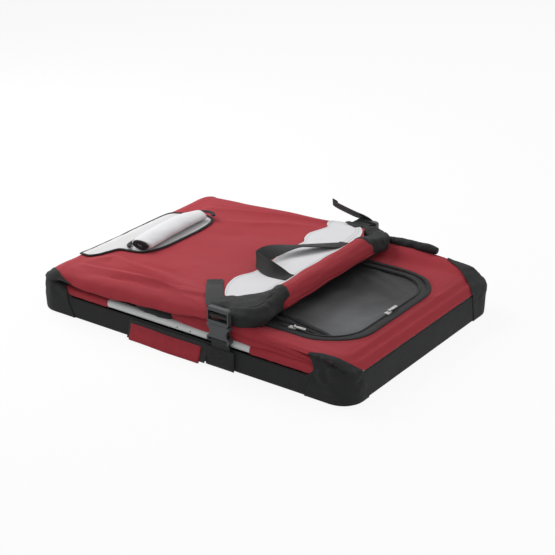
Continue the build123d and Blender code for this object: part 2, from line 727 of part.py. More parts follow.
socket_height = socket_top - socket_bottom
cavity_floor = bar_z + bar_radius + strap_thickness + 2.6
plug_bottom = socket_top + soft_gap
plug_depth = buckle_depth - 3
plug_y = web_y + buckle_depth + soft_gap - 1 - plug_depth / 2
plug_bar_z = (plug_bottom + plug_top) / 2
for side_name, side, web_x, drop in strap_sides:
    with BuildPart() as buckle_socket:
        with BuildSketch(Plane.XZ.offset(-side * (web_y + soft_gap))):
            with Locations((web_x, (socket_bottom + socket_top) / 2)):
                RectangleRounded(buckle_width, socket_height, 5)
            # Waist at each side, where the prongs are pressed.
            with Locations(
                (web_x - buckle_width / 2 - waist_out, socket_top - waist_below),
                (web_x + buckle_width / 2 + waist_out, socket_top - waist_below),
            ):
                Circle(waist_radius, mode=Mode.SUBTRACT)
        extrude(amount=-side * buckle_depth)
        long_faces = buckle_socket.faces().filter_by(Axis.Y)
        fillet(long_faces.sort_by(Axis.Y)[-1 if side > 0 else 0].edges(), 1.8)
        with BuildSketch(Plane.XY.offset(cavity_floor)):
            with Locations((web_x, side * buckle_y)):
                Rectangle(buckle_width - 4 * buckle_wall, buckle_depth - 2 * buckle_wall)
        extrude(amount=socket_height, mode=Mode.SUBTRACT)
        # Slot for the webbing, with the bar it loops round.
        with BuildSketch(Plane.XZ.offset(-side * web_y)):
            with Locations((web_x, (socket_bottom + cavity_floor) / 2 - 4)):
                Rectangle(strap_width + 1, cavity_floor - socket_bottom + 4)
        extrude(amount=-side * (buckle_depth + 2), mode=Mode.SUBTRACT)
        with BuildSketch(Plane.YZ.offset(web_x - strap_width / 2 - 2)):
            with Locations((side * bar_y, bar_z)):
                Circle(bar_radius)
        extrude(amount=strap_width + 4)
    save(buckle_socket.part.moved(Location((0, 0, -drop))), f"buckle_socket_{side_name}")

    with BuildPart() as buckle_plug:
        plug_back = Plane.XZ.offset(-side * (plug_y - plug_depth / 2))
        with BuildSketch(plug_back):
            with Locations((web_x, (plug_bottom + plug_top) / 2)):
                RectangleRounded(buckle_width - 4, plug_top - plug_bottom, 5)
            with Locations((web_x, plug_bar_z)):
                Rectangle(strap_width + 1, 2 * (slot_height + bar_radius), mode=Mode.SUBTRACT)
        extrude(amount=-side * plug_depth)
        # The bar across the window leaves two slots, as a ladder lock has.
        with BuildSketch(Plane.YZ.offset(web_x - strap_width / 2 - 2)):
            with Locations((side * plug_y, plug_bar_z)):
                Circle(bar_radius)
        extrude(amount=strap_width + 4)
        # Two sprung prongs and a guide between them reach into the socket.
        with BuildSketch(Plane.XZ.offset(-side * (buckle_y - prong_thickness / 2))):
            for x, width in (
                (web_x - prong_spread, prong_width),
                (web_x + prong_spread, prong_width),
                (web_x, 7.0),
            ):
                with Locations((x, (prong_bottom + plug_bottom) / 2 + 1)):
                    RectangleRounded(width, plug_bottom - prong_bottom + 2, 2.5)
        extrude(amount=-side * prong_thickness)
    save(buckle_plug.part.moved(Location((0, 0, -drop))), f"buckle_plug_{side_name}")

    with BuildPart() as upper_strap:
        # The near strap also crosses the trim's end, so it lies a ply higher.
        strap_h = wall_over + soft_gap + (fabric if side < 0 else 0)
        edge_u = hinge_x + web_x
        run_back, run_in = strap_runs[side_name]
        sewn_end = Vector(hinge_x + web_x - run_back, side * (leg_y - run_in))
        edge_end = Vector(edge_u, side * (skirt_y - 10))
        run = (edge_end - sewn_end).normalized()
        across = Vector(-run.Y, run.X) * (strap_width / 2)
        with BuildSketch(rear_plane.offset(strap_h)):
            with BuildLine():
                Polyline(
                    *[(p.X, p.Y) for p in (
                        sewn_end + across, sewn_end - across, edge_end - across * 0.7,
                        edge_end + across * 0.7,
                    )],
                    close=True,
                )
            make_face()
            with Locations((edge_u, side * (web_y + soft_gap + strap_thickness - 9))):
                Rectangle(strap_width, 18)
        extrude(amount=strap_thickness)
        drop_top = rear_point(edge_u, 0, strap_h).Z
        with BuildSketch(Plane.XY.offset(plug_bottom + 2 - drop)):
            with Locations((web_x, side * (web_y + soft_gap + strap_thickness / 2))):
                Rectangle(strap_width - 4, strap_thickness)
        extrude(amount=drop_top - plug_bottom + drop)
    save(upper_strap.part, f"upper_strap_{side_name}")

    with BuildPart() as strap_loop:
        with BuildSketch(Plane.YZ.offset(web_x - strap_width / 2)):
            with Locations((side * plug_y, plug_bar_z)):
                Circle(bar_radius + 0.2 + strap_thickness)
                Circle(bar_radius + 0.2, mode=Mode.SUBTRACT)
        extrude(amount=strap_width)
        if side > 0:
            # On the far side the free end comes up outside the plug and sticks out.
            tail_y = plug_y + plug_depth / 2 + 0.1
            with BuildSketch(Plane.YZ.offset(web_x - tail_width / 2)):
                with BuildLine():
                    Polyline(
                        (plug_y + bar_radius, plug_bar_z + 1),
                        (tail_y + tail_ply, plug_bar_z + 3),
                        (tail_y + tail_ply, plug_top + 2),
                        (tail_y, plug_top + 2),
                        (tail_y, plug_bar_z + 5),
                        (plug_y + bar_radius, plug_bar_z + 3.5),
                        close=True,
                    )
                make_face()
            extrude(amount=tail_width)
            tail_run = Vector(*tail_rise)
            tail_plane = Plane(
                origin=(web_x, tail_y, plug_top + 0.6), x_dir=tail_run, z_dir=tail_lean
            )
            with BuildSketch(tail_plane):
                with Locations((tail_run.length / 2, tail_width / 2)):
                    RectangleRounded(tail_run.length, tail_width, 3)
            extrude(amount=tail_ply)
    loop_name = "strap_loop_near" if side < 0 else "strap_tail_far"
    save(strap_loop.part.moved(Location((0, 0, -drop))), loop_name)

# ---- Carrying grip on the near side: webbing sewn to the band, padded wrap

grip_y = half_y + soft_gap + grip_wrap_depth / 2
grip_pivot_y = half_y + soft_gap + strap_thickness / 2
with BuildPart() as grip_strap:
    with BuildSketch(Plane.YZ.offset(grip_rear)):
        with BuildLine():
            Polyline(
                (-grip_pivot_y, grip_top),
                (-grip_y, grip_top - 6),
                (-grip_y, grip_clear + 4),
            )
        trace(line_width=strap_thickness)
        with Locations((-grip_pivot_y, grip_top)):
            Circle(strap_thickness / 2)
    extrude(amount=grip_front - grip_rear)
save(grip_strap.part, "grip_strap")

with BuildPart() as grip_wrap:
    wrap_length = grip_front - grip_rear - 8
    with BuildSketch(Plane.XZ.offset(grip_y - grip_wrap_depth / 2)):
        with Locations(((grip_front + grip_rear) / 2, grip_clear + grip_wrap_height / 2)):
            RectangleRounded(wrap_length, grip_wrap_height, 7)
    extrude(amount=grip_wrap_depth)
    fillet(grip_wrap.faces().filter_by(Axis.Y).edges(), 2.4)
    with BuildSketch(Plane.YZ.offset(grip_rear - 1)):
        with Locations((-grip_y, grip_wrap_height / 2 + 4)):
            Rectangle(strap_thickness + 0.1, grip_wrap_height)
    extrude(amount=grip_front - grip_rear + 2, mode=Mode.SUBTRACT)
save(grip_wrap.part, "grip_wrap")

# ---- Top handle: a loop of webbing laid back over the rear wall

tab_h = wall_over + fabric
handle_h = tab_h + handle_stand + soft_gap
handle_seat = piping_u - piping_radius - 3
handle_near = -(leg_y - handle_near_margin)
handle_far = leg_y - handle_far_margin
handle_span = handle_far - handle_near
root_near_u = handle_seat - handle_near * skew_slope
root_far_u = handle_seat - handle_far * skew_slope
with BuildPart() as handle_tabs:
    with BuildSketch(rear_plane.offset(tab_h)):
        with Locations(
            (root_near_u - tab_length / 2 - 1, handle_near),
            (root_far_u - tab_length / 2 - 1, handle_far),
        ):
            RectangleRounded(tab_length, handle_width + 3, 2)
    extrude(amount=handle_stand)
save(handle_tabs.part, "handle_tabs")

with BuildPart() as top_handle:
    with BuildSketch(rear_plane.offset(handle_h)):
        with BuildLine():
            FilletPolyline(
                (root_near_u + 8, handle_near - 5),
                (root_near_u - 0.86 * handle_reach, handle_near + 0.2 * handle_span),
                (handle_seat - handle_reach, handle_near + 0.42 * handle_span),
                (root_far_u - 0.66 * handle_reach, handle_far - 0.38 * handle_span),
                (root_far_u + 8, handle_far + 5),
                radius=handle_bend,
            )
        trace(line_width=handle_width)
        # Both ends stop at the piping, which lies askew.
        with Locations((handle_seat + handle_bend / cos(radians(roll_skew)), 0)):
            Rectangle(2 * handle_bend, crate_width, rotation=roll_skew, mode=Mode.SUBTRACT)
    extrude(amount=strap_thickness)
    # The doubled end of the webbing is round, and the loop lifts about it.
    for root_v in (handle_near, handle_far):
        hem_start = rear_point(
            handle_seat - (root_v - handle_width / 2) * skew_slope,
            root_v - handle_width / 2,
            handle_h + strap_thickness / 2,
        )
        with BuildSketch(Plane(origin=hem_start, x_dir=rear_plane.z_dir, z_dir=roll_axis)):
            Circle(strap_thickness / 2)
        extrude(amount=handle_width)
save(top_handle.part, "top_handle")

# ---- Door zip sliders with their pull tabs

zip_h = front_wall_under + mesh_thickness + fabric
zip_z = front_hinge_height + zip_h + 0.2
slider_near_x = door_front - door_corner - slider_near_margin
slider_near_y = door_near + zip_inset + zip_width / 2
slider_front_x = door_front - zip_inset - zip_width / 2
slider_front_y = door_near + door_corner + slider_front_margin
pivot_h = slider_height + pull_pin_rise
lug_span = lug_gap + 2 * lug_thickness
for name, x, y, turn in (
    ("near", slider_near_x, slider_near_y, 0.0),
    ("front", slider_front_x, slider_front_y, 90.0),
):
    slider_plane = Plane(origin=(x, y, zip_z)).rotated((0, 0, turn))
    pin_plane = Plane(
        origin=slider_plane.from_local_coords(Vector(pull_pin_forward, 0, pivot_h)),
        x_dir=slider_plane.x_dir,
        z_dir=slider_plane.y_dir,
    )
    with BuildPart() as zip_slider:
        with BuildSketch(slider_plane):
            with BuildLine():
                Polyline(
                    (-slider_length / 2, -slider_width / 2),
                    (slider_length / 2, -slider_width / 3),
                    (slider_length / 2, slider_width / 3),
                    (-slider_length / 2, slider_width / 2),
                    close=True,
                )
            make_face()
        extrude(amount=slider_height)
        fillet(zip_slider.edges().group_by(Axis.Z)[-1], 0.5)
        for start in (-lug_span / 2, lug_gap / 2):
            with BuildSketch(pin_plane.offset(start)):
                Circle(lug_radius)
                with Locations((0, pull_pin_rise / 2 + 0.3)):
                    Rectangle(2 * lug_radius, pull_pin_rise + 0.6)
            extrude(amount=lug_thickness)
        with BuildSketch(pin_plane.offset(-lug_span / 2)):
            Circle(pull_pin_radius)
        extrude(amount=lug_span)
    save(zip_slider.part, f"zip_slider_{name}")

    with BuildPart() as zip_pull:
        barrel_half = lug_gap / 2 - 0.2
        with BuildSketch(slider_plane.offset(pivot_h - pull_thickness / 2)):
            with Locations((pull_pin_forward + pull_length / 2 + 2.8, 0)):
                RectangleRounded(pull_length - 2.8, pull_width, 2)
            with Locations((pull_pin_forward + 3, 0)):
                Rectangle(6, 2 * barrel_half)
            with Locations((pull_pin_forward + pull_length - 4.0, 0)):
                Circle(1.4, mode=Mode.SUBTRACT)
        extrude(amount=pull_thickness)
        with BuildSketch(pin_plane.offset(-barrel_half)):
            Circle(barrel_radius)
        extrude(amount=2 * barrel_half)
        with BuildSketch(pin_plane.offset(-barrel_half)):
            Circle(pull_pin_radius + 0.1)
        extrude(amount=2 * barrel_half, mode=Mode.SUBTRACT)
    save(zip_pull.part, f"zip_pull_{name}")
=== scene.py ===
# Folding fabric crate, packed flat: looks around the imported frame.
import math

import bpy
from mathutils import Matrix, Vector, noise


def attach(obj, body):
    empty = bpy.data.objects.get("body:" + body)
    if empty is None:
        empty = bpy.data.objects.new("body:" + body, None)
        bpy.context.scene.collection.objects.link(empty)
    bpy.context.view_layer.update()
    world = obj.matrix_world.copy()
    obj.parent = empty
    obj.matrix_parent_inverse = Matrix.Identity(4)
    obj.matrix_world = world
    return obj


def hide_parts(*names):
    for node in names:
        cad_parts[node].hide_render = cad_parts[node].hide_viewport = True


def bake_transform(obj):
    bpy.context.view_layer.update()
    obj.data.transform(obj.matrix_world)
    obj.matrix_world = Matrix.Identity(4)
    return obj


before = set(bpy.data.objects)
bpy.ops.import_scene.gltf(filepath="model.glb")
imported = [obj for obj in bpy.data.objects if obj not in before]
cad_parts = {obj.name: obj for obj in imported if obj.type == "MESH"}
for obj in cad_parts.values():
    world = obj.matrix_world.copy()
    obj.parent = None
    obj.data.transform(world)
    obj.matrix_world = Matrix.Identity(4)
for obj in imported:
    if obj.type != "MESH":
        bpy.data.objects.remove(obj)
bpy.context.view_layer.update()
mm = 0.001
print("frame loaded")

# ---- camera, lights, floor

view = {
    "place": (1.515, -2.075, 1.206),
    "tilt": 66.0,
    "turn": 35.59,
    "lens": 96.43,
}
turned = (math.radians(view["tilt"]), 0, math.radians(view["turn"]))
bpy.ops.object.camera_add(location=view["place"], rotation=turned)
camera = bpy.context.object
camera.name = "camera"
camera.data.lens = view["lens"]
camera.data.sensor_width = 36
camera.data.clip_start = 0.05
camera.data.clip_end = 60
bpy.context.scene.camera = camera
bpy.context.scene.view_settings.view_transform = "Standard"


class Signal:
    # a shader socket that adds Math nodes when it is used in Python maths
    def __init__(self, shader, socket):
        self.shader = shader
        self.socket = socket

    def maths(self, operation, *others):
        values = {place: value for place, value in enumerate(others)}
        return Signal(
            self.shader, self.shader.node("ShaderNodeMath", {"operation": operation}, values).outputs[0]
        )

    def __add__(self, other):
        return self.maths("ADD", self, other)

    def __radd__(self, other):
        return self.maths("ADD", other, self)

    def __sub__(self, other):
        return self.maths("SUBTRACT", self, other)

    def __rsub__(self, other):
        return self.maths("SUBTRACT", other, self)

    def __mul__(self, other):
        return self.maths("MULTIPLY", self, other)

    def __rmul__(self, other):
        return self.maths("MULTIPLY", other, self)

    def sine(self):
        return self.maths("SINE", self)

    def absolute(self):
        return self.maths("ABSOLUTE", self)

    def power(self, exponent):
        return self.maths("POWER", self, exponent)

    def clipped(self):
        return self.maths("MAXIMUM", self.maths("MINIMUM", self, 1.0), 0.0)


class Finish:
    # a material, or the world, whose nodes are all made by one method
    def __init__(self, name, world=None):
        self.material = world or bpy.data.materials.new(name)
        self.material.use_nodes = True
        self.tree = self.material.node_tree
        self.tree.nodes.clear()
        self.output = self.node("ShaderNodeOutputWorld" if world else "ShaderNodeOutputMaterial", {}, {})

    def node(self, kind, settings, sockets):
        made = self.tree.nodes.new(kind)
        for key, value in settings.items():
            setattr(made, key, value)
        for key, value in sockets.items():
            if isinstance(value, Signal):
                self.tree.links.new(value.socket, made.inputs[key])
            else:
                made.inputs[key].default_value = value
        return made

    def signal(self, kind, settings, sockets, outlet=0):
        return Signal(self, self.node(kind, settings, sockets).outputs[outlet])

    def across(self, kind):
        # place on the piece: its own UV map in metres, or the object's axes
        return self.signal("ShaderNodeTexCoord", {}, {}, kind)

    def axes(self, place):
        parts = self.node("ShaderNodeSeparateXYZ", {}, {"Vector": place})
        return [Signal(self, parts.outputs[i]) for i in range(3)]

    def seen(self):
        # 1 where the camera or a glossy surface looks, 0 where light is gathered
        ray = self.node("ShaderNodeLightPath", {}, {})
        camera, glossy = (Signal(self, ray.outputs[word]) for word in ("Is Camera Ray", "Is Glossy Ray"))
        return camera.maths("MAXIMUM", camera, glossy)

    def surface(self, socket):
        self.tree.links.new(socket, self.output.inputs["Surface"])
        return self.material

    def cloud(self, place, scale, detail=3.0, roughness=0.5):
        return self.signal(
            "ShaderNodeTexNoise", {},
            {"Vector": place, "Scale": scale, "Detail": detail, "Roughness": roughness}
        )

    def tint(self, mask, low, high):
        return self.signal("ShaderNodeMix", {"data_type": "RGBA"}, {0: mask, 6: (*low, 1), 7: (*high, 1)}, 2)

    def over(self, mask, under, top):
        top = top if isinstance(top, Signal) else (*top, 1)
        return self.signal("ShaderNodeMix", {"data_type": "RGBA"}, {0: mask, 6: under, 7: top}, 2)

    def finish(self, sockets, height=None, depth=0.0002, strength=0.5):
        values = dict(sockets)
        if height is not None:
            values["Normal"] = self.signal(
                "ShaderNodeBump", {}, {"Height": height, "Distance": depth, "Strength": strength}
            )
        return self.surface(self.node("ShaderNodeBsdfPrincipled", {}, values).outputs[0])


def weave(finish, place, pitch):
    # over and under of a plain weave, from -1 to 1
    u, v, _ = finish.axes(place)
    turns = 2 * math.pi / pitch
    return (u * turns).sine() * (v * turns).sine()


def scaled(colour, factor):
    return tuple(min(1.0, part * factor) for part in colour)


cloths = {
    "redNylon": {
        "colour": (0.345, 0.030, 0.041), "pitch": 0.0013, "rough": 0.80, "sheen": 0.03, "mottle": 0.14,
        "bump": 0.4
    },
    "blackNylon": {
        "colour": (0.0165, 0.0170, 0.0178), "pitch": 0.0013, "rough": 0.74, "sheen": 0.03, "mottle": 0.35,
        "bump": 0.5
    },
    "greyNylon": {
        "colour": (0.690, 0.690, 0.705), "pitch": 0.0011, "rough": 0.76, "sheen": 0.02, "mottle": 0.05,
        "bump": 0.3
    },
    "paleLining": {
        "colour": (0.630, 0.625, 0.630), "pitch": 0.0010, "rough": 0.66, "sheen": 0.02, "mottle": 0.07,
        "bump": 0.2
    },
}


def clothFinish(name, facts):
    finish = Finish(name)
    place = finish.across("UV")
    body = finish.across("Object")
    threads = weave(finish, place, facts["pitch"])
    slub = finish.cloud(place, 900.0, 2.0)
    patches = finish.cloud(body, 9.0, 4.0)
    mask = (0.5 + 0.18 * threads + 0.6 * (patches - 0.5) + 0.35 * (slub - 0.5)).clipped()
    low, high = scaled(facts["colour"], 1 - facts["mottle"]), scaled(facts["colour"], 1 + facts["mottle"])
    rough = facts["rough"] + 0.10 * (patches - 0.5) - 0.04 * threads
    return finish.finish(
        {
            "Base Color": finish.tint(mask, low, high),
            "Roughness": rough,
            "Sheen Weight": facts["sheen"],
            "Sheen Roughness": 0.45,
            "Specular IOR Level": 0.22,
        },
        height=threads + 0.8 * slub,
        depth=0.00025,
        strength=facts["bump"],
    )


webbings = {
    "blackWebbing": {"colour": (0.014, 0.014, 0.015), "rib": 0.0017, "step": 0.0011, "rough": 0.62},
    "blackBinding": {"colour": (0.013, 0.013, 0.014), "rib": 0.0012, "step": 0.0009, "rough": 0.75},
    "zipCoil": {"colour": (0.018, 0.018, 0.019), "rib": 0.0020, "step": 0.0007, "rough": 0.55},
}


def webbingFinish(name, facts):
    # ribs run along the webbing, crossed by fine wefts
    finish = Finish(name)
    place = finish.across("UV")
    along, side, _ = finish.axes(place)
    ribs = (side * (2 * math.pi / facts["rib"])).sine()
    wefts = (along * (2 * math.pi / facts["step"])).sine()
    slub = finish.cloud(place, 500.0, 2.0)
    mask = (0.4 + 0.35 * ribs.absolute() + 0.2 * wefts + 0.4 * (slub - 0.5)).clipped()
    return finish.finish(
        {
            "Base Color": finish.tint(mask, scaled(facts["colour"], 0.5), scaled(facts["colour"], 2.2)),
            "Roughness": facts["rough"] + 0.12 * (slub - 0.5),
            "Sheen Weight": 0.02,
            "Specular IOR Level": 0.25,
        },
        height=ribs.absolute() + 0.4 * wefts,
        depth=0.0004,
        strength=0.7,
    )


def meshFinish():
    # knitted net: pale thread lines over dark holes, paler in a painted pool of light round the middle
    facts = {
        "hole": 0.0042,
        # the net's own dark colours for threads and holes, and paler ones for them in the painted pool of
        # light
        "thread": (0.024, 0.026, 0.028),
        "threadInLight": (0.200, 0.208, 0.215),
        "dark": (0.006, 0.006, 0.007),
        "holeInLight": (0.048, 0.050, 0.052),
        "middle": (0.235, -0.080, 0.07),
        "reach": 0.10,
    }
    finish = Finish("blackMesh")
    body = finish.across("Object")
    u, v, _ = finish.axes(body)
    turns = math.pi / facts["hole"]
    lines = (u * turns).sine().absolute() * (v * turns).sine().absolute()
    net = (1 - lines.power(0.45)).clipped()
    # painted light: brightest round the middle point, fading over the reach to the net's dark colours, broken
    # up by noise
    off = finish.signal("ShaderNodeVectorMath", {"operation": "DISTANCE"}, {0: body, 1: facts["middle"]}, 1)
    patches = finish.cloud(body, 11.0, 4.0)
    paintedLight = (1.15 - off * (1 / facts["reach"]) + 1.5 * (patches - 0.5)).clipped()
    thread = finish.tint(paintedLight, facts["thread"], facts["threadInLight"])
    colour = finish.over(net, finish.tint(paintedLight, facts["dark"], facts["holeInLight"]), thread)
    return finish.finish(
        {
            "Base Color": colour, "Roughness": 0.5 + 0.2 * paintedLight, "Sheen Weight": 0.03,
            "Specular IOR Level": 0.35
        },
        height=net,
        depth=0.0005,
        strength=0.6,
    )


def metalFinish(name, colour, metallic, rough, grain):
    # coated or plated metal with fine scuffs
    finish = Finish(name)
    body = finish.across("Object")
    scuffs = finish.cloud(body, 160.0, 5.0, 0.7)
    drift = finish.cloud(body, 12.0, 2.0)
    mask = (0.5 + 0.7 * (scuffs - 0.5) + 0.4 * (drift - 0.5)).clipped()
    return finish.finish(
        {
            "Base Color": finish.tint(mask, scaled(colour, 0.92), scaled(colour, 1.06)),
            "Roughness": rough + 0.25 * (scuffs - 0.5),
            "Metallic": metallic,
        },
        height=scuffs,
        depth=grain,
        strength=0.35,
    )


def plasticFinish():
    # moulded buckle plastic: fine spark-eroded grain and a slow drift in tone
    finish = Finish("bucklePlastic")
    body = finish.across("Object")
    grain = finish.cloud(body, 1500.0, 2.0)
    drift = finish.cloud(body, 40.0, 3.0)
    mask = (0.5 + 0.5 * (grain - 0.5) + 0.6 * (drift - 0.5)).clipped()
    return finish.finish(
        {
            "Base Color": finish.tint(mask, (0.028, 0.030, 0.033), (0.050, 0.053, 0.056)),
            "Roughness": 0.42 + 0.2 * (drift - 0.5),
            "Specular IOR Level": 0.5,
        },
        height=grain,
        depth=0.00012,
        strength=0.4,
    )


def threadFinish(name, colour):
    finish = Finish(name)
    twist = finish.cloud(finish.across("Object"), 1800.0, 1.0)
    return finish.finish(
        {
            "Base Color": finish.tint(twist, scaled(colour, 0.7), scaled(colour, 1.3)),
            "Roughness": 0.6 + 0.2 * (twist - 0.5)
        },
        height=twist,
        depth=0.0001,
        strength=0.4,
    )


finishes = {name: clothFinish(name, facts) for name, facts in cloths.items()}
finishes.update({name: webbingFinish(name, facts) for name, facts in webbings.items()})
finishes["blackMesh"] = meshFinish()
finishes["bucklePlastic"] = plasticFinish()
finishes["whiteTube"] = metalFinish("whiteTube", (0.62, 0.64, 0.64), 0.0, 0.38, 0.00006)
finishes["zincSteel"] = metalFinish("zincSteel", (0.50, 0.51, 0.52), 1.0, 0.35, 0.00005)
finishes["zipMetal"] = metalFinish("zipMetal", (0.58, 0.58, 0.57), 0.5, 0.42, 0.00004)
finishes["redThread"] = threadFinish("redThread", (0.22, 0.030, 0.038))
finishes["blackThread"] = threadFinish("blackThread", (0.035, 0.036, 0.038))
finishes["greyThread"] = threadFinish("greyThread", (0.42, 0.42, 0.44))
print("finishes made")

stageFacts = {"floor": 14.0, "paper": (0.88, 0.88, 0.88), "glow": 0.90, "air": 0.50}


def stageFloor():
    bpy.ops.mesh.primitive_plane_add(size=stageFacts["floor"], location=(0, 0, -0.0005))
    floor = bpy.context.object
    floor.name = "floor"
    finish = Finish("floorPaper")
    paper = finish.signal("ShaderNodeBsdfDiffuse", {}, {"Color": (*stageFacts["paper"], 1)})
    glow = finish.signal("ShaderNodeEmission", {}, {"Color": (1, 1, 1, 1), "Strength": 1.0})
    share = finish.seen() * stageFacts["glow"]
    both = finish.signal("ShaderNodeMixShader", {}, {0: share, 1: paper, 2: glow})
    floor.data.materials.append(finish.surface(both.socket))


def worldLight():
    world = bpy.data.worlds.new("studio")
    bpy.context.scene.world = world
    finish = Finish("studio", world)
    level = finish.signal(
        "ShaderNodeMapRange", {}, {"Value": finish.seen(), "To Min": stageFacts["air"], "To Max": 1.0}
    )
    finish.surface(finish.node("ShaderNodeBackground", {}, {"Strength": level}).outputs[0])


lamps = {
    "key": {"place": (-1.28, 0.06, 1.15), "size": 1.2, "power": 24.0},
    "fill": {"place": (1.9, -0.9, 1.6), "size": 2.0, "power": 10.0},
    "back": {"place": (0.4, 2.0, 1.9), "size": 1.8, "power": 12.0},
}


def softLamps():
    for name, facts in lamps.items():
        bpy.ops.object.light_add(type="AREA", location=facts["place"])
        lamp = bpy.context.object
        lamp.name = "lamp" + name.capitalize()
        lamp.data.size = facts["size"]
        lamp.data.energy = facts["power"]
        aim = Vector((0, 0, 0.05)) - Vector(facts["place"])
        lamp.rotation_euler = aim.to_track_quat("-Z", "Y").to_euler()


stageFloor()
worldLight()
softLamps()
print("stage set")

# ---- ways of making cloth, webbing and rolls; places are in millimetres


def mixed(a, b, f):
    return tuple(p + (q - p) * f for p, q in zip(a, b))


def eased(f):
    f = min(max(f, 0.0), 1.0)
    return f * f * (3 - 2 * f)


def hump(f):
    # 0 at both ends, 1 in the middle
    return math.sin(math.pi * min(max(f, 0.0), 1.0))


def smoothLine(points, t, closed=False):
    # a smooth line through the points, t from 0 to 1
    count = len(points) if closed else len(points) - 1
    x = (t % 1.0 if closed else min(max(t, 0.0), 1.0)) * count
    i = min(int(x), count - 1)
    f = x - i
    if closed:
        a, b, c, d = (points[(i + k) % count] for k in (-1, 0, 1, 2))
    else:
        a, b, c, d = points[max(i - 1, 0)], points[i], points[i + 1], points[min(i + 2, count)]
    return tuple(
        0.5 * (2 * q + (r - p) * f + (2 * p - 5 * q + 4 * r - w) * f**2 + (3 * q - p - 3 * r + w) * f**3)
        for p, q, r, w in zip(a, b, c, d)
    )


def smoothNet(rows, s, t):
    return smoothLine([smoothLine(row, s) for row in rows], t)


def ripple(x, y, z, size, height):
    return height * noise.noise(Vector((x, y, z)) / size)


def roundedPath(halfX, halfY, radius, s):
    # round a rectangle with rounded corners, from the middle of the near side: place and outward way
    straightX, straightY, bend = 2 * (halfX - radius), 2 * (halfY - radius), math.pi * radius / 2
    runs = [straightX / 2, bend, straightY, bend, straightX, bend, straightY, bend, straightX / 2]
    left = (s % 1.0) * sum(runs)
    i = 0
    while left > runs[i] and i < 8:
        left -= runs[i]
        i += 1
    cx, cy = halfX - radius, halfY - radius
    if i in (0, 8):
        return (left if i == 0 else left - cx, -halfY, 0.0, -1.0)
    if i == 4:
        return (cx - left, halfY, 0.0, 1.0)
    if i == 2:
        return (halfX, left - cy, 1.0, 0.0)
    if i == 6:
        return (-halfX, cy - left, -1.0, 0.0)
    turn = {1: -90, 3: 0, 5: 90, 7: 180}[i] + math.degrees(left / radius)
    out = (math.cos(math.radians(turn)), math.sin(math.radians(turn)))
    centre = {1: (cx, -cy), 3: (cx, cy), 5: (-cx, cy), 7: (-cx, -cy)}[i]
    return (centre[0] + radius * out[0], centre[1] + radius * out[1], *out)


rear = {"x": -304.0, "z": 77.0, "tilt": 3.09858}


def rearPlace(u, v, h):
    # place given along the folded rear wall (u), across it (v) and out of it (h)
    turn = math.radians(rear["tilt"])
    return (
        rear["x"] + u * math.cos(turn) - h * math.sin(turn),
        v,
        rear["z"] + u * math.sin(turn) + h * math.cos(turn),
    )


def editAll(*steps):
    bpy.ops.object.mode_set(mode="EDIT")
    bpy.ops.mesh.select_all(action="SELECT")
    for step, facts in steps:
        step(**facts)
    bpy.ops.object.mode_set(mode="OBJECT")


def applied(piece, kind, **facts):
    modifier = piece.modifiers.new(kind.title(), kind)
    for key, value in facts.items():
        setattr(modifier, key, value)
    bpy.ops.object.modifier_apply(modifier=modifier.name)


def dress(piece, finish, body=None, nodes=()):
    piece.data.materials.clear()
    piece.data.materials.append(finishes[finish])
    if body:
        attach(piece, body)
    for node in nodes:
        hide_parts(node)
    return piece


def layUv(piece, net, columns, rows):
    # the grid's UV map becomes metres of cloth
    wide, long = [0.0], [0.0]
    for i in range(columns):
        wide.append(wide[-1] + sum((net[i + 1, j] - net[i, j]).length for j in range(rows + 1)) / (rows + 1))
    for j in range(rows):
        long.append(
            long[-1] + sum((net[i, j + 1] - net[i, j]).length for i in range(columns + 1)) / (columns + 1)
        )
    for corner in piece.data.uv_layers.active.data:
        corner.uv = (wide[round(corner.uv[0] * columns)], long[round(corner.uv[1] * rows)])
    return wide[-1], long[-1]


def cloth(name, columns, rows, place, thickness=1.0, facing=None, joined=False):
    # a grid laid by place(s, t), welded where joined, with its thickness
    bpy.ops.object.select_all(action="DESELECT")
    bpy.ops.mesh.primitive_grid_add(x_subdivisions=columns, y_subdivisions=rows, size=1)
    piece = bpy.context.object
    piece.name = name
    net = {}
    for vertex in piece.data.vertices:
        i, j = round((vertex.co.x + 0.5) * columns), round((vertex.co.y + 0.5) * rows)
        vertex.co = Vector(place(i / columns, j / rows)) * mm
        net[i, j] = vertex.co.copy()
    flat = layUv(piece, net, columns, rows)
    if joined:
        editAll(
            (bpy.ops.mesh.remove_doubles, {"threshold": 0.00001}),
            (bpy.ops.mesh.normals_make_consistent, {"inside": False})
        )
    elif facing:
        piece.data.update()
        if sum((f.normal * f.area).dot(Vector(facing)) for f in piece.data.polygons) < 0:
            editAll((bpy.ops.mesh.flip_normals, {}))
    if thickness:
        applied(
            piece, "SOLIDIFY", thickness=thickness * mm, offset=-1.0, use_even_offset=True,
            thickness_clamp=1.0
        )
    bpy.ops.object.shade_smooth_by_angle(angle=math.radians(50))
    piece["flatWide"], piece["flatLong"] = flat
    return piece


def frameAt(path, s, up, closed=False):
    # middle of a roll's section, with its side and up ways
    step = 0.002
    here = Vector(smoothLine(path, s, closed)[:3])
    before = Vector(smoothLine(path, s - step if closed else max(s - step, 0), closed)[:3])
    after = Vector(smoothLine(path, s + step if closed else min(s + step, 1), closed)[:3])
    run = (after - before).normalized()
    side = run.cross(Vector(up)).normalized()
    return here, side, side.cross(run).normalized()


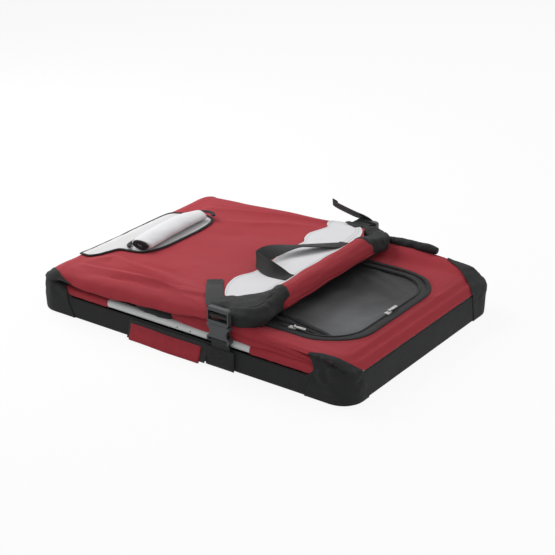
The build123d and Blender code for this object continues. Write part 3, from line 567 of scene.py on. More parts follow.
def roll(
    name, path, columns=80, rows=28, up=(0, 0, 1), closed=False, wrinkle=0.0, wrinkleSize=14.0, ends="round",
    flatBelow=0.0
):
    # a soft roll along path; each path point is x, y, z, half width, half height
    def place(s, t):
        here, side, top = frameAt(path, s, up, closed)
        facts = smoothLine(path, s, closed)
        wide, high = facts[3], facts[4]
        if ends == "round" and not closed:
            near = min(s, 1 - s) * columns / 5
            shrink = math.sqrt(max(0.0, 1 - (1 - min(near, 1.0)) ** 2))
            wide, high = wide * max(shrink, 0.02), high * max(shrink, 0.02)
        turn = 2 * math.pi * t
        x, y = math.cos(turn), math.sin(turn)
        if y < 0:
            y *= 1 - flatBelow
        spot = here + side * wide * x + top * high * y
        if wrinkle:
            push = ripple(*spot, wrinkleSize, wrinkle) + ripple(
                *(spot * 1.7), wrinkleSize * 0.5, wrinkle * 0.4
            )
            spot += (side * x + top * y) * push * (min(wide, high) / 12)
        return spot

    piece = cloth(name, columns, rows, place, thickness=0.0, joined=True)
    if not closed:
        bpy.ops.object.mode_set(mode="EDIT")
        bpy.ops.mesh.select_all(action="DESELECT")
        bpy.ops.mesh.select_non_manifold()
        bpy.ops.mesh.edge_face_add() if ends == "flat" else bpy.ops.mesh.fill()
        bpy.ops.mesh.select_all(action="SELECT")
        bpy.ops.mesh.normals_make_consistent(inside=False)
        bpy.ops.object.mode_set(mode="OBJECT")
        bpy.ops.object.shade_smooth_by_angle(angle=math.radians(50))
    return piece


def closedEnds():
    # fills the open ends of the piece just made
    editAll(
        (bpy.ops.mesh.select_all, {"action": "DESELECT"}), (bpy.ops.mesh.select_non_manifold, {}),
        (bpy.ops.mesh.fill, {}), (bpy.ops.mesh.select_all, {"action": "SELECT"}),
        (bpy.ops.mesh.normals_make_consistent, {"inside": False})
    )


def webbing(name, path, columns, thickness=1.6, rows=8, crown=0.0, facing=None):
    # flat webbing; each path point is x, y, z and the way and half width to its edge
    def place(s, t):
        facts = smoothLine(path, s)
        here, edge = Vector(facts[:3]), Vector(facts[3:6])
        step = 0.002
        run = Vector(smoothLine(path, min(s + step, 1))[:3]) - Vector(smoothLine(path, max(s - step, 0))[:3])
        out = run.cross(edge).normalized()
        side = 2 * t - 1
        return here + edge * side + out * crown * (1 - side * side)

    return cloth(name, columns, rows, place, thickness=thickness, facing=facing)


def stitches(name, rows, finish, body, gap=4.2, length=2.8, radius=0.34):
    # rows of thread, each a list of places along a seam and the way out of the cloth
    points, faces = [], []
    for line in rows:
        spots = [Vector(spot[:3]) for spot in line]
        ways = [Vector(spot[3:6]) for spot in line]
        total = sum((b - a).length for a, b in zip(spots, spots[1:]))
        count = max(1, int(total / gap))
        for n in range(count):
            goal, walked, k = (n + 0.5) * total / count, 0.0, 0
            while k < len(spots) - 2 and walked + (spots[k + 1] - spots[k]).length < goal:
                walked += (spots[k + 1] - spots[k]).length
                k += 1
            run = (spots[k + 1] - spots[k]).normalized()
            here = spots[k] + run * (goal - walked)
            out = ways[k].normalized()
            side = run.cross(out).normalized()
            first = len(points)
            for place, thick, lift in (
                (-0.5, 0.35, -0.1), (-0.28, 1.0, 0.55), (0.28, 1.0, 0.55), (0.5, 0.35, -0.1)
            ):
                for q in range(5):
                    turn = 2 * math.pi * q / 5
                    spot = here + run * place * length + (
                        side * math.cos(turn) + out * math.sin(turn)
                    ) * radius * thick + out * radius * lift
                    points.append(tuple(spot * mm))
            for ring in range(3):
                for q in range(5):
                    a, b = first + ring * 5 + q, first + ring * 5 + (q + 1) % 5
                    faces.append((a, b, b + 5, a + 5))
            faces.append(tuple(first + q for q in (4, 3, 2, 1, 0)))
            faces.append(tuple(first + 15 + q for q in range(5)))
    mesh = bpy.data.meshes.new(name)
    mesh.from_pydata(points, [], faces)
    piece = bpy.data.objects.new(name, mesh)
    bpy.context.scene.collection.objects.link(piece)
    bpy.ops.object.select_all(action="DESELECT")
    bpy.context.view_layer.objects.active = piece
    piece.select_set(True)
    editAll((bpy.ops.mesh.normals_make_consistent, {"inside": False}))
    bpy.ops.object.shade_smooth_by_angle(angle=math.radians(60))
    return dress(piece, finish, body)


def boxAndCross(half, low, high):
    # a sewn box with a cross in it: the two ends of each line
    return [
        (-half, low, half, low),
        (-half, high, half, high),
        (-half, low, -half, high),
        (half, low, half, high),
        (-half, low, half, high),
        (-half, high, half, low),
    ]


def sewnLines(lines, place, steps):
    # each line from a, p to b, q as a row of places on the cloth
    rows = []
    for a, p, b, q in lines:
        rows.append([place(a + (b - a) * k / steps, p + (q - p) * k / steps) for k in range(steps + 1)])
    return rows


# ---- tray: floor, band and corner patches

tray = {
    "halfX": 353.8,
    "halfY": 246.3,
    "radius": 39.8,
    "topEnds": 55.0,
    "topSides": 41.0,
    "sideHalf": 266.0,
}


def bandTop(x):
    # the band is lower along the long sides
    onSide = 1 - eased((abs(x) - tray["sideHalf"]) / 14)
    return tray["topEnds"] + (tray["topSides"] - tray["topEnds"]) * onSide


def trayBand():
    # black band: hem under the floor, soft belly, top edge turned in
    section = [
        (-11, 0.4), (-5, 0.4), (-1.6, 1.0), (-0.2, 4.0), (0.2, 14.0), (0.5, 0.5), (0.1, 0.86), (-1.0, 0.985),
        (-3.0, 0.995), (-5.4, 0.93)
    ]

    def place(s, t):
        x, y, outX, outY = roundedPath(tray["halfX"], tray["halfY"], tray["radius"], s)
        top = bandTop(x)
        rows = [(o, z if n < 5 else z * top) for n, (o, z) in enumerate(section)]
        out, z = smoothLine(rows, t)
        soft = hump(min(z / top, 1.0))
        out += soft * (ripple(x, y, 5, 75, 1.3) + ripple(x, y, z, 22, 0.5))
        z += soft * ripple(x, y, 40, 60, 1.0)
        return (x + outX * out, y + outY * out, z)

    piece = cloth("trayBand", 420, 22, place, thickness=1.2, joined=True)
    dress(piece, "blackNylon", "base", ["side_band"])
    line = []
    for n in range(241):
        x, y, outX, outY = roundedPath(tray["halfX"], tray["halfY"], tray["radius"], n / 240)
        line.append((x + outX * 0.3, y + outY * 0.3, bandTop(x) - 3.2, outX, outY, 0))
    stitches("trayBandStitches", [line], "blackThread", "base", gap=5.0)


def floorBoard():
    # covered board in the tray's floor, with a rolled edge
    bpy.ops.object.select_all(action="DESELECT")
    bpy.ops.mesh.primitive_grid_add(x_subdivisions=90, y_subdivisions=64, size=1)
    board = bpy.context.object
    board.name = "floorBoard"
    halfX, halfY, corner = 351.6, 244.2, 37.0
    for vertex in board.data.vertices:
        x, y = vertex.co.x * 2, vertex.co.y * 2
        # a square's rings are pulled to the board's rounded outline
        ring = max(abs(x), abs(y))
        if ring > 0:
            ex, ey = x / ring * halfX, y / ring * halfY
            overX, overY = max(abs(ex) - (halfX - corner), 0), max(abs(ey) - (halfY - corner), 0)
            reach = math.hypot(overX, overY)
            if reach > corner and overX > 0 and overY > 0:
                ex = math.copysign(halfX - corner + overX * corner / reach, ex)
                ey = math.copysign(halfY - corner + overY * corner / reach, ey)
            x, y = ex * ring, ey * ring
        z = 5.6 + ripple(x, y, 0, 90, 0.6)
        vertex.co = Vector((x, y, z)) * mm
    for corner in board.data.uv_layers.active.data:
        corner.uv = (corner.uv[0] * 0.703, corner.uv[1] * 0.488)
    applied(board, "SOLIDIFY", thickness=5.2 * mm, offset=-1.0)
    applied(board, "BEVEL", width=1.8 * mm, segments=3, angle_limit=math.radians(50), limit_method="ANGLE")
    bpy.ops.object.shade_smooth_by_angle(angle=math.radians(40))
    dress(board, "blackNylon", "base", ["floor_panel"])


def arcSpot(turn, out, end, side):
    # place on the tray's rounded corner, pushed out; turn 0 is the end, 90 the long side
    a = math.radians(turn)
    return (
        end * (314.0 + (41.0 + out) * math.cos(a)),
        side * (206.5 + (41.0 + out) * math.sin(a)),
    )


# each patch: rows from the hem under the floor up to the inner edge, columns from long side to end
def cornerNet(end, side, tops, insets, sideX, endY):
    columns = [("side", x) for x in sideX]
    columns += [("arc", turn) for turn in (85, 62, 42, 20, 2)]
    columns += [("end", y) for y in endY[:2]]
    rows = []
    for z, out in ((0.4, -8.0), (0.6, -1.5), (3.0, 0.0), (14.0, 0.7), (34.0, 1.0)):
        row = []
        for kind, value in columns:
            if kind == "side":
                slant = (14.0 if value == sideX[0] else 5.0) * eased(z / 40)
                row.append((end * (value + slant), side * (247.5 + out), z))
            elif kind == "arc":
                x, y = arcSpot(value, out, end, side)
                row.append((x, y, z))
            else:
                lean = (endY[2] if value == endY[1] else endY[2] * 0.4) * eased(z / 50)
                row.append((end * (355.0 + out), side * (value + lean), z))
        rows.append(row)
    rows.append([(end * x, side * y, z) for x, y, z in tops])
    rows.append([(end * x, side * y, z) for x, y, z in insets])
    return rows


# both rear patches have the same net
rearCornerNet = {
    "sideX": (262.0, 290.0), "endY": (200.0, 188.0, 2.0),
    "tops": [
        (276, 247.3, 52), (296, 247.4, 58), (318, 246.6, 60), (336, 239.0, 60), (345.5, 230.5, 59.5),
        (352.0, 219, 59), (354.2, 207, 58), (354.6, 199, 57), (354.8, 189, 56)
    ],
    "insets": [
        (286, 241, 62), (300, 238, 64), (315, 235, 65), (330, 229, 64.5), (339, 222, 63.5), (345, 213, 62.5),
        (347, 205, 61.5), (348, 198, 60.5), (349, 189, 60)
    ],
}

cornerPatches = {
    "frontNear": {
        "end": 1, "side": -1, "crumple": 2.6,
        "net": {
            "sideX": (262.0, 290.0), "endY": (197.0, 188.0, 17.0),
            "tops": [
                (282, 247.5, 54), (298, 247.0, 58), (318, 245.5, 60), (336, 239.5, 60), (346, 231, 59),
                (352.5, 220, 57.5), (354.6, 209, 56.5), (354.8, 207, 55.5), (355, 205.5, 55)
            ],
            "insets": [
                (264, 238, 80), (284, 233, 82), (303, 227, 80), (320, 222, 75), (333, 216, 69),
                (342, 211, 64), (347, 208, 61), (350, 207, 59.5), (352, 206.5, 58)
            ],
        },
    },
    "frontFar": {
        "end": 1, "side": 1, "crumple": 1.2,
        "net": {
            "sideX": (262.0, 290.0), "endY": (190.0, 176.0, -9.0),
            "tops": [
                (272, 247.0, 64), (292, 247.0, 66), (316, 246.0, 66), (335, 240.5, 64), (346, 231.5, 61),
                (352.5, 220, 59), (354.6, 206, 57.5), (354.9, 188, 56.6), (355, 167, 56)
            ],
            "insets": [
                (264, 229, 88), (276, 221, 85), (290, 213, 82), (304, 205, 78), (317, 196, 74),
                (330, 187, 67), (341, 178, 62.5), (348, 171, 59.5), (352, 166, 58)
            ],
        },
    },
    "rearNear": {"end": -1, "side": -1, "crumple": 0.8, "net": rearCornerNet},
    "rearFar": {"end": -1, "side": 1, "crumple": 0.8, "net": rearCornerNet},
}


def cornerPatch(name, facts):
    rows = cornerNet(facts["end"], facts["side"], **facts["net"])
    below = wall["cloth"] if facts["end"] < 0 else front["cloth"]
    heart = Vector((facts["end"] * 296, facts["side"] * 190, 40))

    def place(s, t):
        x, y, z = smoothNet(rows, s, t)
        soft = eased((z - 12) / 40) * facts["crumple"]
        fold = math.sin(x / 7.0 + y / 11.0 + z / 6.0) * 0.35 + noise.noise(Vector((x, y, z * 1.4)) / 13) * 1.1
        away = Vector((x - facts["end"] * 300, y - facts["side"] * 190, max(z - 40, 0) * 1.5)).normalized()
        spot = Vector((x, y, z)) + away * soft * fold
        return outside(below, spot, heart, 2.8 + 0.5 * facts["crumple"]) if t > 0.42 else spot

    piece = cloth(
        "cornerPatch" + name[0].upper() + name[1:], 84, 64, place, thickness=1.1,
        facing=(facts["end"], facts["side"], 0.4)
    )
    node = "base_corner_patch_" + name.replace("Near", "_near").replace("Far", "_far")
    body = "base" if facts["end"] < 0 else None
    dress(piece, "blackNylon", body, [node])
    seam = []
    for s, way in (
        (0.02, (facts["end"] * 0.6, facts["side"], 0.3)), (0.98, (facts["end"], facts["side"] * 0.2, 0.3))
    ):
        seam.append([(*place(s, 0.12 + 0.86 * k / 24), *way) for k in range(25)])
    thread = stitches(piece.name + "Stitches", seam, "blackThread", body, gap=4.6)
    if not body:
        # the upper part is sewn to the front wall; the patch and its stitches are baked in place, not
        # attached to a body
        for soft in (piece, thread):
            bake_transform(soft)


trayBand()
floorBoard()
print("tray dressed")

# ---- rear wall: red nylon from the band's rear edge over the hinges up to the roll

wall = {
    "hingeShare": 0.16,
    "endMid": 428.0,
    "endSide": 392.0,
    "endSkew": 0.0524,
    "lowNear": [
        (0, -8.0), (85, -17.0), (139, -21.0), (178, -17.5), (225, -17.5), (276, -16.5), (345, -11.0),
        (430, -9.0)
    ],
    "lowFar": [(0, -8.0), (120, -16.0), (240, -15.0), (345, -10.0), (430, -9.0)],
    "section": [
        (246.4, None), (247.0, None), (245.0, -5.5), (240.0, 3.0), (231.0, 8.6), (217.0, 12.0), (180.0, 12.4),
        (110.0, 11.2), (40.0, 10.4)
    ],
    "folds": [
        # places along and across the wall, half width, height
        ([(30, -205), (83, -206), (128, -208), (173, -207), (222, -208), (270, -206), (318, -202)], 7.0, 7.0),
        ([(24, -176), (64, -150), (120, -166), (190, -172), (250, -186), (330, -190)], 12.0, 8.0),
        ([(96, -196), (158, -199), (222, -208), (274, -215), (321, -207)], 5.0, 5.0),
        ([(280, -222), (312, -228), (345, -235)], 6.0, 2.4),
        ([(48, 158), (110, 181), (196, 196), (256, 206), (300, 216)], 11.0, 6.0),
        ([(120, 120), (172, 134), (209, 150), (246, 164), (285, 176)], 12.0, 5.0),
        ([(150, -96), (230, -92), (300, -120)], 24.0, 2.6),
        ([(150, 20), (240, 34), (300, 30)], 34.0, 2.4),
        ([(130, -30), (180, -48), (236, -52)], 15.0, 1.6),
    ],
    "troughs": [
        ([(30, -190), (83, -188), (140, -190), (200, -192), (262, -198)], 5.0, 3.2),
        ([(60, -224), (92, -222), (128, -221), (173, -219), (230, -221)], 4.5, 3.6),
        ([(50, -120), (120, -142), (200, -140), (290, -168)], 11.0, 4.6),
        ([(60, 176), (120, 197), (200, 212), (260, 222)], 8.0, 2.6),
        ([(140, 60), (200, 84), (270, 96)], 20.0, 2.0),
    ],
}


def tableAt(rows, x):
    # a value between the rows' places
    for (a, p), (b, q) in zip(rows, rows[1:]):
        if x <= b:
            return p + (q - p) * eased((x - a) / (b - a))
    return rows[-1][1]


def foldHeight(folds, u, v):
    # soft ridges along lines on the cloth
    total = 0.0
    for line, half, height in folds:
        best, where = 1e9, 0.0
        for n in range(len(line) - 1):
            (ax, ay), (bx, by) = line[n], line[n + 1]
            dx, dy = bx - ax, by - ay
            f = min(max(((u - ax) * dx + (v - ay) * dy) / (dx * dx + dy * dy), 0.0), 1.0)
            far = math.hypot(u - ax - f * dx, v - ay - f * dy)
            if far < best:
                best, where = far, (n + f) / (len(line) - 1)
        if best < 3 * half:
            total += height * math.exp(-((best / half) ** 1.6)) * hump(0.08 + 0.84 * where) ** 0.7
    return total


def wallSection(u, t):
    # across the wall at u: place v and height h
    near = t < 0.5
    low = tableAt(wall["lowNear"] if near else wall["lowFar"], u)
    half = [
        (v, low if n == 0 else low * 0.55 - 3 if n == 1 else h) for n, (v, h) in enumerate(wall["section"])
    ]
    points = [(-v, h) for v, h in half] + [(v, h) for v, h in reversed(half)]
    return smoothLine(points, t)


rearEdge = [
    (-312, -246.5, 61), (-318, -246.5, 62), (-327, -244, 63), (-336, -238, 63), (-344, -229, 62),
    (-349, -216, 60), (-352.2, -190, 55.8), (-352.6, -120, 55.2), (-352.6, -40, 55),
    (-352.6, 40, 55), (-352.6, 120, 55.2), (-352.2, 190, 55.8), (-349, 216, 60), (-344, 229, 62),
    (-336, 238, 63), (-327, 244, 63), (-318, 246.5, 62), (-312, 246.5, 61),
]


def wallEnd(v):
    # the wall ends under the skewed roll, and sooner at its two sides
    atSide = eased((abs(v) - 160) / 60)
    return wall["endMid"] + (wall["endSide"] - wall["endMid"]) * atSide - v * wall["endSkew"] * (1 - atSide)


def wallPlace(s, t, lift=0.0):
    share = wall["hingeShare"]
    if s < share:
        # from the band's edge up over the hinge line
        f = s / share
        a = Vector(smoothLine(rearEdge, t))
        v, h = wallSection(8, t)
        b = Vector(rearPlace(8, v, h))
        rise = math.sin(f * math.pi / 2) ** 0.85
        spot = Vector((a.x + (b.x - a.x) * f, a.y + (b.y - a.y) * eased(f), a.z + (b.z - a.z) * rise))
        spot.z += hump(f) * (1.2 + ripple(spot.x, spot.y, 9, 40, 1.6))
        return spot + Vector((-0.4, 0, 0.9)) * lift
    f = (s - share) / (1 - share)
    v, h = wallSection(8, t)
    u = 8 + (wallEnd(v) - 8) * f
    v, h = wallSection(u, t)
    top = eased((abs(v) - 246) / -20)
    h += top * (foldHeight(wall["folds"], u, v) - foldHeight(wall["troughs"], u, v)) * eased(f * 12)
    h += top * (
        ripple(u, v, 3, 120, 3.0) + ripple(u * 0.5, v, 7, 34, 0.9)
    ) * eased(f * 8) * eased((1 - f) * 8)
    side = 1 - top
    v += math.copysign(side * (ripple(u, h, 2 if v < 0 else 9, 46, 2.2) - 0.6), v)
    h += side * ripple(u, v, 11, 60, 1.6)
    # a shallow sag between the legs, ahead of the window
    h -= 3.0 * hump((v + 200) / 400) * hump((u - 120) / 290)
    spot = Vector(rearPlace(u, v, h))
    way = Vector(rearPlace(0, 0, 1)) - Vector(rearPlace(0, 0, 0))
    return spot + way * lift * (0.3 + 0.7 * top) + Vector((0, math.copysign(1, v), 0)) * lift * side


def onCloth(piece, x, y, lift=0.0):
    # the cloth's surface under a place on the ground plan
    hit, spot, way, _ = piece.ray_cast(Vector((x * mm, y * mm, 0.5)), Vector((0, 0, -1)))
    if not hit:
        return None
    return spot / mm + Vector((way.x * 0.5, way.y * 0.5, way.z)).normalized() * lift


def outside(piece, spot, heart, lift):
    # keeps a place clear of the cloth, pushed out from the heart of the corner
    reach = (spot - heart).length
    for rise in (-4, 4, 0):
        way = (spot + Vector((0, 0, rise)) - heart).normalized()
        hit, found, _, _ = piece.ray_cast((spot + way * 50) * mm, -way)
        reach = max(reach, (found / mm - heart).dot(way) + lift) if hit else reach
    return heart + way * reach


def onWall(x, y, lift=0.0):
    return onCloth(wall["cloth"], x, y, lift) or Vector((x, y, 100.0))


def bendAtHinge(piece):
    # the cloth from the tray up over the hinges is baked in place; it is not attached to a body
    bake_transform(piece)


def rearWallCloth():
    def place(s, t):
        # more rows over the top of the wall than down its sides
        a = abs(2 * t - 1)
        return wallPlace(
            s, 0.5 + math.copysign(0.278 * a if a < 0.74 else 0.206 + 1.13 * (a - 0.74), t - 0.5)
        )

    piece = cloth("rearWallCloth", 212, 184, place, thickness=1.3, facing=(0, 0, 1))
    dress(piece, "redNylon", None, ["rear_wall", "rear_apron"])
    bendAtHinge(piece)
    wall["cloth"] = piece
    bpy.context.view_layer.update()
    hem = []
    for t, side in ((0.012, -1), (0.988, 1)):
        hem.append([(*wallPlace(0.2 + 0.79 * k / 90, t, 0.2), 0, side, 0.1) for k in range(91)])
    stitches("rearWallStitches", hem, "redThread", "rear_frame", gap=4.6)


def rearCornerPatch(word, edge, inner):
    # black corner piece sewn over the wall's corner above the hinge, from its side edge inwards
    def place(s, t):
        reach = 0.225 + (0.012 - 0.225) * eased(t) ** 1.2
        return wallPlace(0.004 + reach * s, edge + (inner - edge) * t, 1.5)

    piece = cloth("rearCornerPatch" + word, 30, 40, place, thickness=1.2, facing=(-0.3, 0, 1))
    dress(piece, "blackNylon", None, ["rear_corner_patch_" + word.lower()])
    bendAtHinge(piece)


rearWallCloth()
rearCornerPatch("Near", 0.035, 0.335)
rearCornerPatch("Far", 0.965, 0.665)
print("rear wall laid")

# ---- window: pale lining, net, bound edge and the rolled flap

window = {
    "middle": (-262, -28),
    "outline": [
        (-318, -160), (-296, -166), (-281, -152), (-275, -130), (-266, -108), (-240, -104), (-214, -96),
        (-199, -60), (-196, 0), (-197, 60), (-201, 92), (-214, 112),
        (-244, 118), (-280, 112), (-314, 96), (-330, 60), (-335, 10), (-335, -50), (-334, -100), (-328, -140),
    ],
    "roll": [
        (-226, -92, 23, 10), (-229, -60, 25, 11), (-233, -20, 25.5, 11.5), (-236, 30, 25, 11),
        (-236, 75, 23, 10), (-230, 104, 17, 8)
    ],
    "edge": [
        (-246, -102), (-259, -88), (-265, -64), (-267, -34), (-269, 19), (-268, 62), (-262, 99), (-246, 119),
        (-220, 118), (-202, 105)
    ],
}


def windowPane():
    midX, midY = window["middle"]

    def lining(s, t):
        x, y = smoothLine(window["outline"], s, closed=True)
        f = 0.02 + 0.98 * t
        return onWall(midX + (x - midX) * f, midY + (y - midY) * f, 2.0)

    pane = cloth("windowLining", 120, 44, lining, thickness=0.6, joined=True)
    dress(pane, "paleLining", None, ["window_mesh"])
    bendAtHinge(pane)


def windowBound():
    edge = []
    for n in range(64):
        x, y = smoothLine(window["outline"], n / 64, closed=True)
        edge.append((*onWall(x, y, 2.4), 2.9, 1.5))
    bound = roll("windowBinding", edge, columns=200, rows=12, closed=True)
    dress(bound, "blackBinding", None, ["window_binding"])
    bendAtHinge(bound)


def windowFlap():
    path = []
    for x, y, wide, high in window["roll"]:
        spot = onWall(x, y, 2.2)
        path.append((spot.x, spot.y, spot.z + high, wide, high))
    flap = roll("windowFlapRoll", path, columns=110, rows=44, wrinkle=1.4, wrinkleSize=26, flatBelow=0.25)
    dress(flap, "greyNylon", "rear_frame", ["window_flap"])

    # the flap's bound edge lies along the roll's rear side
    line = []
    for x, y in window["edge"]:
        spot = onWall(x, y, 3.4)
        lift = 3.0 + 6.0 * eased((x + 262) / 40)
        line.append((spot.x, spot.y, spot.z + lift, 4.2, 2.2))
    tape = roll("windowFlapBinding", line, columns=150, rows=12, wrinkle=0.5, wrinkleSize=20)
    dress(tape, "blackBinding", "rear_frame")

    # the rolled layers show as a coil at the near end
    x, y, z, wide, high = path[0]
    coil = []
    for n in range(34):
        turn = 2 * math.pi * 2.4 * n / 33
        size = 1.0 - 0.30 * n / 33 * 2.4
        out, up = wide * 0.86 * size * math.cos(turn), high * 0.84 * size * math.sin(turn)
        coil.append((x + out, y - 0.5, z + up, 2.4, 2.0))
    spiral = roll("windowFlapCoil", coil, columns=120, rows=8, up=(0, 1, 0))
    dress(spiral, "blackBinding", "rear_frame")


windowPane()
windowBound()
windowFlap()
print("window rolled")

# ---- roof fabric rolled on the top bar, its black ends, piping and pale trim

roofRoll = {"u": 434.0, "h": 4.0, "near": -125.0, "far": 139.0, "skew": 1.0}


def rollAxis(along, out=0.0, up=0.0):
    # place along the roll's skewed axis, ahead of it (out) and above it (up)
    turn = math.radians(roofRoll["skew"])
    return rearPlace(
        roofRoll["u"] - along * math.sin(turn) + out * math.cos(turn),
        along * math.cos(turn) + out * math.sin(turn), roofRoll["h"] + up
    )


def roofRollPiece():
    near, far = roofRoll["near"] - 24, roofRoll["far"] + 24
    path = []
    for n in range(13):
        along = near + (far - near) * n / 12
        path.append((*rollAxis(along), 21.3 + 0.5 * math.sin(n * 2.1), 20.8 + 0.6 * math.sin(n * 1.7 + 1)))

    def place(s, t):
        here, side, top = frameAt(path, s, (0, 0, 1))
        wide, high = smoothLine(path, s)[3:5]
        turn = 2 * math.pi * t
        x, y = math.cos(turn), math.sin(turn)
        spot = here + side * wide * x + top * high * y
        # long spiral creases of a tight roll
        twist = 0.6 * math.sin(spot.y / 46 + 3 * turn) + 0.35 * math.sin(spot.y / 19 - 2 * turn)
        twist += ripple(spot.x * 2.5, spot.y * 0.4, spot.z * 2.5, 22, 1.5)
        # drawn in under the black ends, past their slanting seams
        slant = 11.0 * (1 - y)
        past = max(-122 - slant - spot.y, spot.y - 136 - slant)
        return spot + (side * x + top * y) * (twist - 9.0 * eased((past - 1.5) / 14))

    piece = cloth("roofRoll", 150, 56, place, thickness=1.2, joined=True)
    dress(piece, "redNylon", "rear_frame", ["roof_roll"])
    # the free edge of the rolled roof lies along the front, below the crest
    line = []
    for n in range(15):
        along = near + 4 + (far - near - 8) * n / 14
        line.append((*rollAxis(along, 20.3, -7.5 + 1.2 * math.sin(n * 1.3)), 1.9, 1.3))
    lip = roll("roofRollEdge", line, columns=120, rows=10, wrinkle=0.3)
    dress(lip, "redNylon", "rear_frame")


rollEnds = {
    # middle of the gathered black fabric, from the roll round the bar's bend to the strap
    "Near": [
        (129.6, -122, 104.6, 21.9, 21.8), (129.4, -130, 104.2, 21.7, 21.6), (129, -146, 102.6, 20.4, 20.6),
        (129.6, -166, 101, 20.2, 19.8), (133, -186, 99.8, 20.6, 19.2),
        (136, -204, 99.2, 21.0, 18.6), (129, -219, 98.8, 21.0, 18.2), (115, -226.5, 98.5, 18.5, 17.8),
        (98, -228.5, 98, 16.5, 16.6), (82, -228.5, 97, 15.0, 15.0),
    ],
    "Far": [
        (125.2, 136, 104.6, 21.9, 21.8), (125.6, 143, 104.0, 21.9, 21.6), (127.5, 158, 102, 21.2, 20),
        (130.5, 176, 100.6, 20.6, 19), (131, 194, 99.6, 20.0, 18.2),
        (125, 209, 99, 19.2, 17.6), (112, 218.5, 98.6, 18.0, 17.2), (96, 221.5, 98, 16.5, 16.2),
        (80, 222, 97, 15.0, 14.6), (66, 222, 96, 13.0, 12.5),
    ],
}
roofCap = {
    # black fabric from the roll's crest back over the wall's near corner, to its edge on the wall
    "edge": [
        (48, -236), (44, -226), (47, -212), (56, -196), (66, -185), (74, -184), (84, -170), (94, -160),
        (100, -152), (104, -146), (108, -134), (113, -126)
    ],
    "crest": [
        (88, -232, 110.5), (94, -231, 112.5), (102, -229, 114.5), (111, -226, 116), (120, -222, 117),
        (128, -215, 117.8), (134, -205, 118.2), (135, -192, 118.8), (133, -176, 120.2), (130.5, -160, 121.4),
        (130, -146, 122.8), (130, -132, 124.4)
    ],
}


def roofRollEnd(word):
    # black side fabric gathered round the bar's bend
    path = rollEnds[word]

    def place(s, t):
        here, across, top = frameAt(path, s, (0, 0, 1))
        wide, high = smoothLine(path, s)[3:5]
        shrink = max(0.02, math.sqrt(max(0.0, 1 - (1 - min((1 - s) * 22, 1.0)) ** 2)))
        turn = 2 * math.pi * t
        x, y = math.cos(turn) * wide, math.sin(turn) * high
        spot = here + (across * x + top * y) * shrink
        gather = 1.2 * math.sin(5 * turn + 9 * s) * hump(s * 0.9)
        gather += ripple(*spot, 19, 2.4) + ripple(*spot, 8, 0.8)
        spot += (across * x + top * y).normalized() * gather * eased(s * 9)
        # the seam to the roll slants back under it
        spot.y += math.copysign(11.0, spot.y) * (1 - math.sin(turn)) * (1 - eased(s * 7))
        return Vector((spot.x, spot.y, spot.z + max(0.0, 83.0 - spot.z) * 0.8))

    piece = cloth("roofRollEnd" + word, 84, 52, place, thickness=0.0, joined=True)
    closedEnds()
    dress(piece, "blackNylon", "rear_frame", ["roof_roll_end_" + word.lower()])


def roofCapPiece():
    def place(s, t):
        x, y = smoothLine(roofCap["edge"], s)
        a = onWall(x, y, 3.0)
        b = Vector(smoothLine(roofCap["crest"], s))
        inner = b + Vector((3.0, -2.0, -5.0))
        if t > 0.9:
            return b + (inner - b) * (t - 0.9) / 0.1
        f = t / 0.9
        spot = a + (b - a) * f
        spot.z += 2.2 * hump(f) + ripple(spot.x, spot.y, 4, 20, 2.2) * hump(f)
        under = onWall(spot.x, spot.y, 1.8)
        spot.z = max(spot.z, under.z)
        return spot

    piece = cloth("roofCapNear", 96, 40, place, thickness=1.1, facing=(0, 0, 1))
    dress(piece, "blackNylon", "rear_frame")


trim = {
    # rear edge of the pale trim, from the far side to the near one
    "rear": [
        (30, 236), (12, 232), (1, 222), (4, 205), (15, 190), (12, 168), (4, 142), (10, 118), (20, 98),
        (14, 54), (19, 8), (25, -26), (27, -67), (18, -94), (16, -117), (24, -146), (38, -172), (52, -190),
    ],
    "front": [
        (34, 237), (50, 234), (64, 226), (78, 214), (90, 200), (99, 182), (105, 160), (107, 130), (107.6, 90),
        (108, 54), (109, 8), (110, -26), (110.5, -67), (111, -94), (111.5, -117), (112, -146), (110, -172),
        (104, -190),
    ],
}


def topTrim():
    def place(s, t):
        a, b = smoothLine(trim["rear"], s), smoothLine(trim["front"], s)
        x, y = mixed(a, b, t)
        return onWall(x, y, 1.6 + 0.5 * hump(t))

    piece = cloth("topTrim", 120, 36, place, thickness=0.9, facing=(0, 0, 1))
    dress(piece, "greyNylon", "rear_frame", ["top_trim"])
    rows = []
    for t in (0.055, 0.90):
        rows.append([(*(place(0.02 + 0.96 * k / 110, t) + Vector((0, 0, 0.3))), 0, 0, 1) for k in range(111)])
    rows.append([(*(place(0.02 + 0.40 * k / 60, 0.82) + Vector((0, 0, 0.3))), 0, 0, 1) for k in range(61)])
    stitches("topTrimStitches", rows, "greyThread", "rear_frame", gap=4.6)


def trimPiping():
    line = [(*rollAxis(-128 + 270 * k / 39, -21.6, 8.6), 2.3, 2.3) for k in range(40)]
    piece = roll("trimPiping", line, columns=170, rows=12)
    dress(piece, "greyNylon", "rear_frame", ["piping"])


roofRollPiece()
roofRollEnd("Near")
roofRollEnd("Far")
topTrim()
trimPiping()
roofCapPiece()
print("roof rolled")

# ---- red sleeves on the base tube

sleeves = {"radius": 9.7, "y": 236.0, "z": 50.0, "runs": {"Rear": (-290.0, -180.0), "Front": (146.0, 292.0)}}


def tubeSleeves():
    for word, side in (("Near", -1), ("Far", 1)):
        for end, (a, b) in sleeves["runs"].items():
            path = [
                (a + (b - a) * n / 8, side * sleeves["y"], sleeves["z"], sleeves["radius"], sleeves["radius"])
                for n in range(9)
            ]
            sleeve = roll(
                "tubeSleeve" + word + end, path, columns=60, rows=28, wrinkle=0.6, wrinkleSize=15, ends="flat"
            )
            dress(
                sleeve, "redNylon", "base",
                ["tube_sleeves"] if (word, end) == ("Near", "Rear") else []
            )


tubeSleeves()

